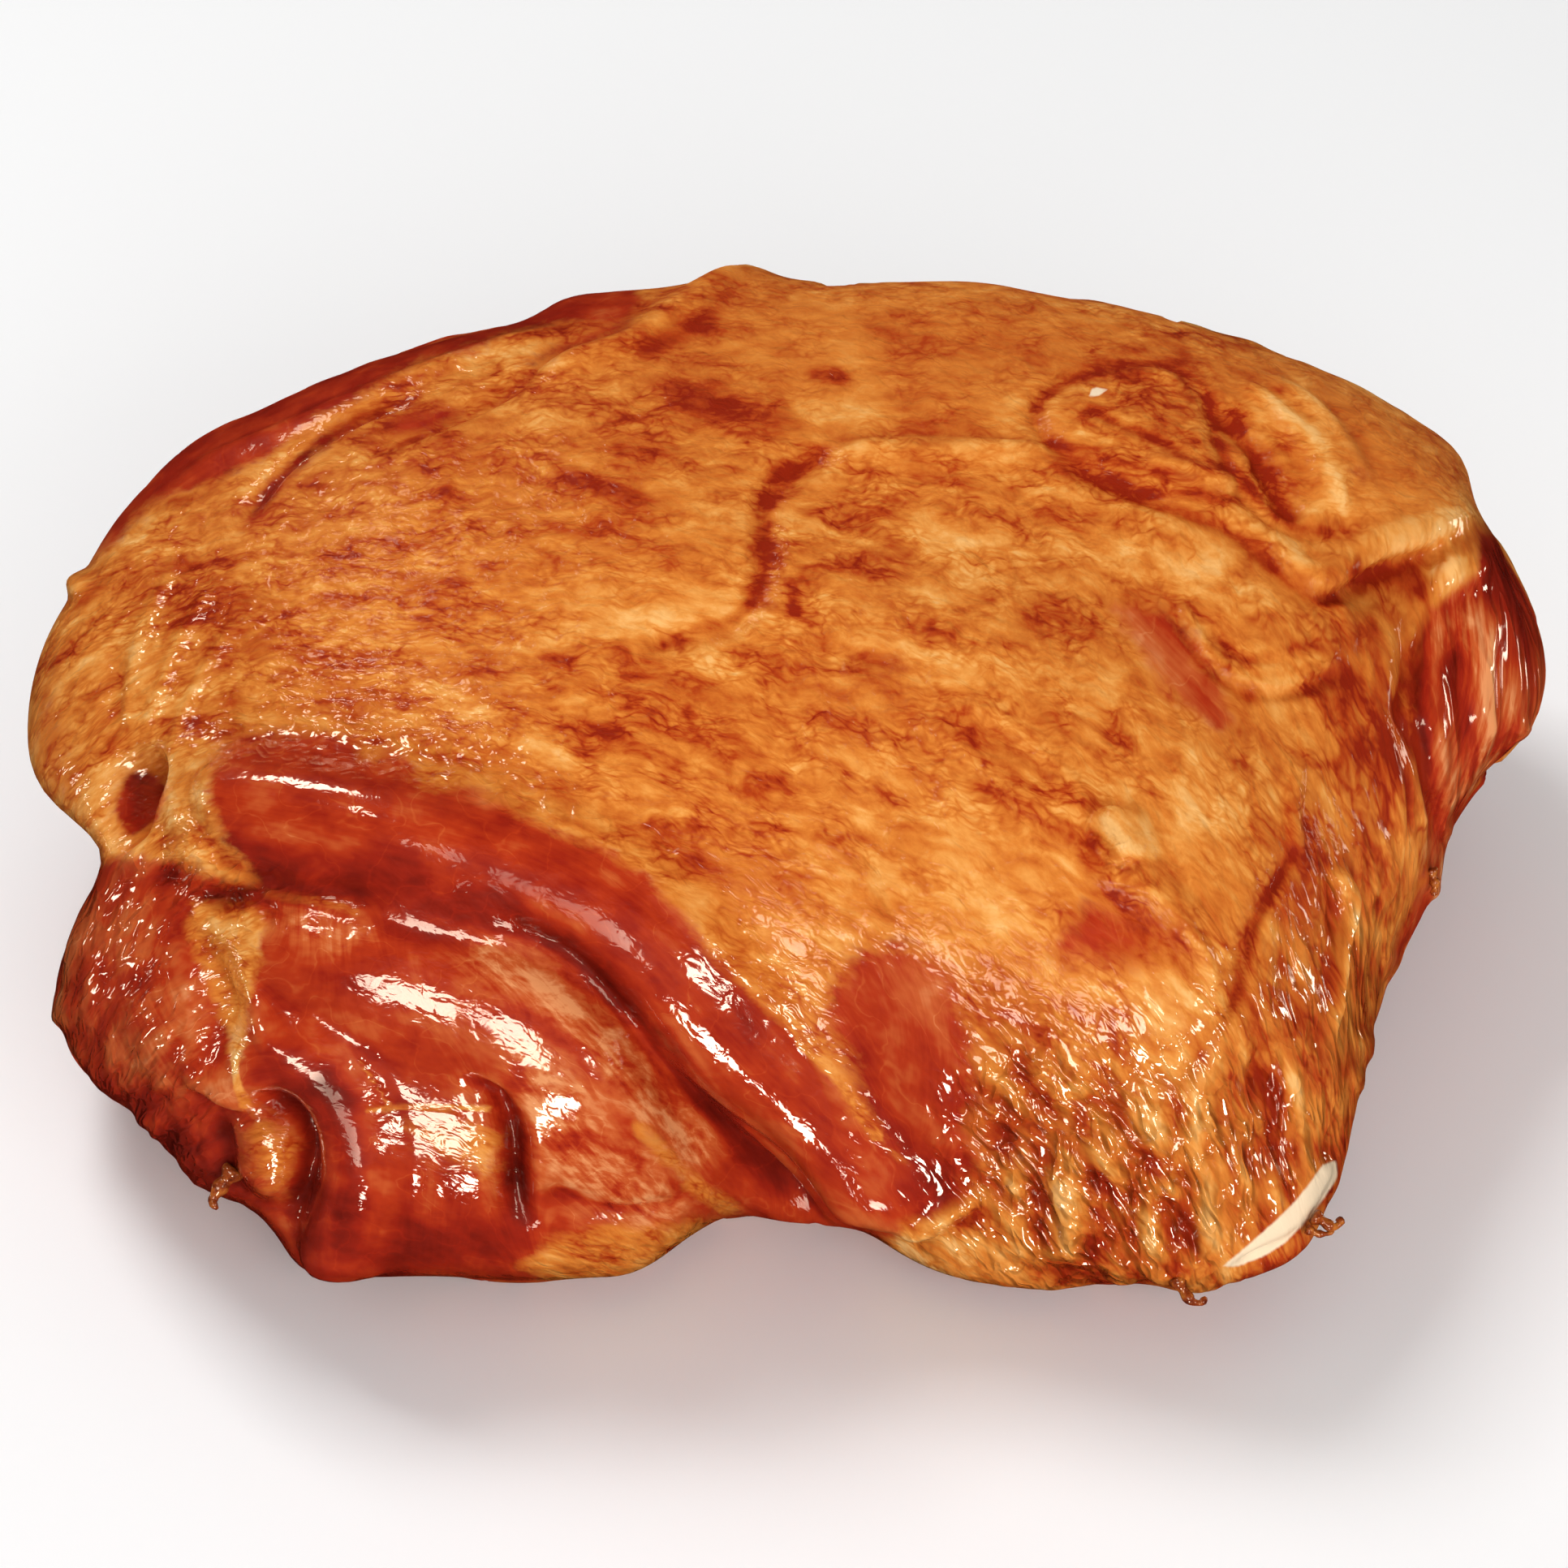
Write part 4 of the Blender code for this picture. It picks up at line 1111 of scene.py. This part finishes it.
def ham_material():
    net = Net("smoked ham")
    lean, tone, blood_and_shade, web, wet, rough, ivory_and_glint, calm = (net.attribute(name) for name in CHANNELS)
    place = net.attribute("grain", "Vector")
    wound = net.shaken(place, 10, 6)
    ragged = net.shaken(wound, 2.5, 1.6)
    mottle = net.off(net.noise(wound, (6.5, 3.6, 4.6), 4, 0.62))
    patches = net.off(net.noise(wound, (20, 6, 12), 2, 0.6))

    # The fat: mottled, with dark lines between small and large lobules and along veins, which come and go.
    blotch = net.off(net.noise(place, (34, 20, 26), 1))
    here = net.step(net.noise(place, (12, 7, 9), 1), 0.3, 0.62)
    small = net.times(net.seams(ragged, (3.6, 1.7, 2.6), 0.24), here)
    large = net.times(net.seams(ragged, (9.5, 3.4, 6), 0.13), here)
    veins = net.times(net.veins(ragged, (16, 4.6, 9), 0.03), here)
    grained = net.sum(net.times(mottle, 1.12), (patches, 1.1), (small, -0.17), (large, -0.15), (veins, -0.14))
    marked = net.sum(1, (calm, -0.55), (rough, -0.4))
    fat = net.sum(0.6, (tone, 0.36), (blotch, 0.6), (grained, marked))

    # The lean meat: cloudy, streaked along its fibres, with pale threads and webs of fat, deep where bloody
    #     and where shade is painted in.
    streaks = net.off(net.noise(net.attribute("fibre", "Vector"), (14, 1.2, 6), 2, 0.6))
    clouds = net.off(net.noise(place, (13, 11, 12), 3, 0.6))
    threads = net.veins(ragged, (12, 12, 12), 0.014, 1)
    webbed = net.sum(0.2, (streaks, 0.5), (mottle, 1.1))
    flesh = net.sum(0.6, (streaks, 0.22), (clouds, 0.9), (blood_and_shade, -0.34), (tone, 0.2))
    flesh = net.sum(flesh, (threads, 0.07), (web, webbed))

    is_lean = net.step(net.sum(lean, (mottle, 0.8), (patches, 0.4)), 0.32, 0.7)
    is_ivory_and_glint = net.step(net.sum(ivory_and_glint, (mottle, 0.3)), 0.35, 0.6)
    colour = net.mix(is_lean, net.palette(fat, FAT_COLOURS), net.palette(flesh, LEAN_COLOURS))

    # The low relief: lumpy fat, rippled meat, and curled creases where it is rough.
    bent = net.shaken(place, 6, 5)
    lumpy = net.times(net.noise(bent, (4.4, 2.4, 3.4), 2, 0.5), net.sum(1, (rough, -0.5)))
    rippled = net.times(net.noise(bent, (3.6, 3.0, 3.2), 2, 0.5), 0.3)
    creased = net.times(net.apart(net.noise(bent, (5.2, 4.4, 4.6), 1, 0.5)), -7)
    height = net.sum(net.blend(lean, lumpy, rippled), (rough, creased))
    bump = net.node("Bump", {"Height": height, "Distance": MM, "Strength": net.sum(1, (ivory_and_glint, -0.8))}, 0)

    return net.shaded({
        "Base Color": net.mix(is_ivory_and_glint, colour, (*IVORY_AND_GLINT, 1)), "Normal": bump, "Coat Normal": bump,
        "Roughness": net.blend(lean, net.sum(0.5, (wet, -0.16), (mottle, 0.3)), 0.42),
        "Specular IOR Level": 0.03, "Coat Weight": net.sum(0.08, (wet, 0.92)), "Coat Roughness": 0.1,
    })


def shred_material():
    net = Net("torn meat")
    place = net.vector(net.node("TexCoord", {}, "Object"), (MM, MM, MM), "DIVIDE")
    mottle = net.noise(place, (2.2, 2.2, 2.2))
    return net.shaded({
        "Base Color": net.palette(mottle, SHRED_COLOURS),
        "Normal": net.node("Bump", {"Height": mottle, "Distance": MM, "Strength": 1}, 0),
        "Roughness": 0.45, "Specular IOR Level": 0.05, "Coat Weight": 0.5, "Coat Roughness": 0.1,
    })


def floor_material():
    return Net("floor").shaded({"Base Color": FLOOR_COLOUR, "Roughness": 0.8, "Specular IOR Level": 0.1})


def added(name, data):
    """A new object in the scene."""
    thing = bpy.data.objects.new(name, data)
    bpy.context.scene.collection.objects.link(thing)
    return thing


def lay_map(mesh, quads):
    """A texture map: each of the box's six sides has a field of its own."""
    spots = np.zeros((len(quads), 4, 2))
    row = 0
    for axis in range(3):
        across, up = FINE_GRID[(axis + 1) % 3], FINE_GRID[(axis + 2) % 3]
        for side in (0, 1):
            i, j = np.meshgrid(np.arange(across), np.arange(up), indexing="ij")
            i, j = i.ravel(), j.ravel()
            ring = [(i, j), (i + 1, j), (i + 1, j + 1), (i, j + 1)]
            bottom, left = divmod(2 * axis + side, 3)
            for k, (p, q) in enumerate(ring if side else ring[::-1]):
                spots[row:row + len(i), k, 0] = (left + MAP_EDGE + (1 - 2 * MAP_EDGE) * p / across) / 3
                spots[row:row + len(i), k, 1] = (bottom + MAP_EDGE + (1 - 2 * MAP_EDGE) * q / up) / 2
            row += len(i)
    mesh.uv_layers.new(name="OFBake").data.foreach_set("uv", spots.ravel())


def make_ham(form):
    points, quads, front = fine_shape(form)
    mesh = bpy.data.meshes.new("ham_meat")
    mesh.from_pydata(((points - SOLID_MIDDLE) * MM).tolist(), [], quads.tolist())
    for name, values in painted(points, quads, front).items():
        mesh.attributes.new(name, "FLOAT", "POINT").data.foreach_set("value", values.astype(np.float32))
    for name, values in (("grain", grain(points)), ("fibre", fibres(points))):
        layer = mesh.attributes.new(name, "FLOAT_VECTOR", "POINT")
        layer.data.foreach_set("vector", values.astype(np.float32).ravel())
    lay_map(mesh, quads)
    mesh.shade_smooth()
    mesh.materials.append(ham_material())
    ham = added("ham_meat", mesh)
    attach(ham, "root")
    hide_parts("ham")


def strand(line, thick):
    """Points and faces of a closed, knotty strand round a line, which thins out to a blunt end."""
    way = unit(np.gradient(line, axis=0))
    side = unit(np.cross(way, (0.3, 0.8, 0.5)))
    rise = np.cross(way, side)
    t = np.linspace(0, 1, len(line))
    thinning = 1.1 - 0.7 * t
    knots = 1 + 0.22 * np.sin(15 * t)
    tip = np.sqrt(np.clip((1.02 - t) / 0.12, 0.1, 1))
    turn = np.arange(SHRED_SIDES) / SHRED_SIDES * 2 * math.pi
    radius = (thick * thinning * knots * tip)[:, None] * (1 + 0.2 * np.cos(2 * turn))
    off = side[:, None] * (radius * np.cos(turn))[..., None]
    off += rise[:, None] * (radius * np.sin(turn))[..., None]
    faces = []
    for a in range(0, (len(line) - 1) * SHRED_SIDES, SHRED_SIDES):
        for i in range(SHRED_SIDES):
            j = (i + 1) % SHRED_SIDES
            faces.append([a + i, a + j, a + SHRED_SIDES + j, a + SHRED_SIDES + i])
    last = (len(line) - 1) * SHRED_SIDES
    faces.append(list(range(SHRED_SIDES))[::-1])
    faces.append(list(range(last, last + SHRED_SIDES)))
    return (line[:, None] + off).reshape(-1, 3), faces


def make_shreds(form):
    points, faces, count = [], [], 0
    for thick, curve in SHREDS.values():
        pixels = smooth_line(traced(curve), SHRED_STEP)
        depth = seen(form.under(pixels[:1]))[1][0]
        line = in_picture(pixels, depth)
        line[:, 2] = np.maximum(line[:, 2], thick)
        part, rings = strand(line, thick)
        points.extend(part)
        faces.extend([[count + k for k in ring] for ring in rings])
        count += len(part)
    mesh = bpy.data.meshes.new("ham_shreds")
    mesh.from_pydata(((np.array(points) - SOLID_MIDDLE) * MM).tolist(), [], faces)
    mesh.shade_smooth()
    mesh.materials.append(shred_material())
    shreds = added("ham_shreds", mesh)
    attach(shreds, "root")


def light(name, way, distance, size, glow, soft):
    way = Vector(way).normalized()
    lamp = bpy.data.lights.new(name, "AREA")
    lamp.shape = "SQUARE"
    lamp.size = size
    lamp.energy = glow * math.pi * size**2
    if not soft:
        lamp.color = SOFTBOX_COLOUR
    thing = added(name, lamp)
    thing.location = Vector(LIT) + way * distance
    thing.rotation_mode = "QUATERNION"
    thing.rotation_quaternion = (-way).to_track_quat("-Z", "Y")
    thing.visible_glossy = not soft
    thing.visible_diffuse = soft


def make_stage():
    mesh = bpy.data.meshes.new("floor")
    half = FLOOR_SIZE / 2
    corners = [(-half, -half, 0), (half, -half, 0), (half, half, 0), (-half, half, 0)]
    mesh.from_pydata(corners, [], [(0, 1, 2, 3)])
    mesh.materials.append(floor_material())
    floor = added("floor", mesh)
    floor.visible_glossy = False
    world = bpy.data.worlds.new("studio")
    bpy.context.scene.world = world
    world.use_nodes = True
    sky = world.node_tree.nodes["Background"].inputs
    sky["Color"].default_value = (1, 1, 1, 1)
    sky["Strength"].default_value = SKY_GLOW
    world.cycles_visibility.glossy = False
    for name, settings in LIGHTS.items():
        light(name, *settings)


def make_camera():
    lens = bpy.data.cameras.new("camera")
    lens.sensor_width = SENSOR_WIDTH
    lens.lens = VIEW_SCALE * SENSOR_WIDTH / (2 * VIEW_MIDDLE)
    lens.clip_start, lens.clip_end = CLIPPED
    camera = added("camera", lens)
    back = Vector((0, -COSINE, SINE))
    target = Vector((-SOLID_MIDDLE[0], -SOLID_MIDDLE[1], VIEW_HEIGHT)) * MM
    camera.location = target + back * VIEW_DISTANCE * MM
    camera.rotation_mode = "QUATERNION"
    camera.rotation_quaternion = (-back).to_track_quat("-Z", "Y")
    scene = bpy.context.scene
    scene.camera = camera
    scene.view_settings.view_transform = "Standard"
    scene.cycles.use_denoising = True
    scene.cycles.max_bounces = 4
    scene.cycles.diffuse_bounces = 2
    scene.cycles.glossy_bounces = 2


make_camera()
make_stage()
ham_form = Form()
make_ham(ham_form)
make_shreds(ham_form)
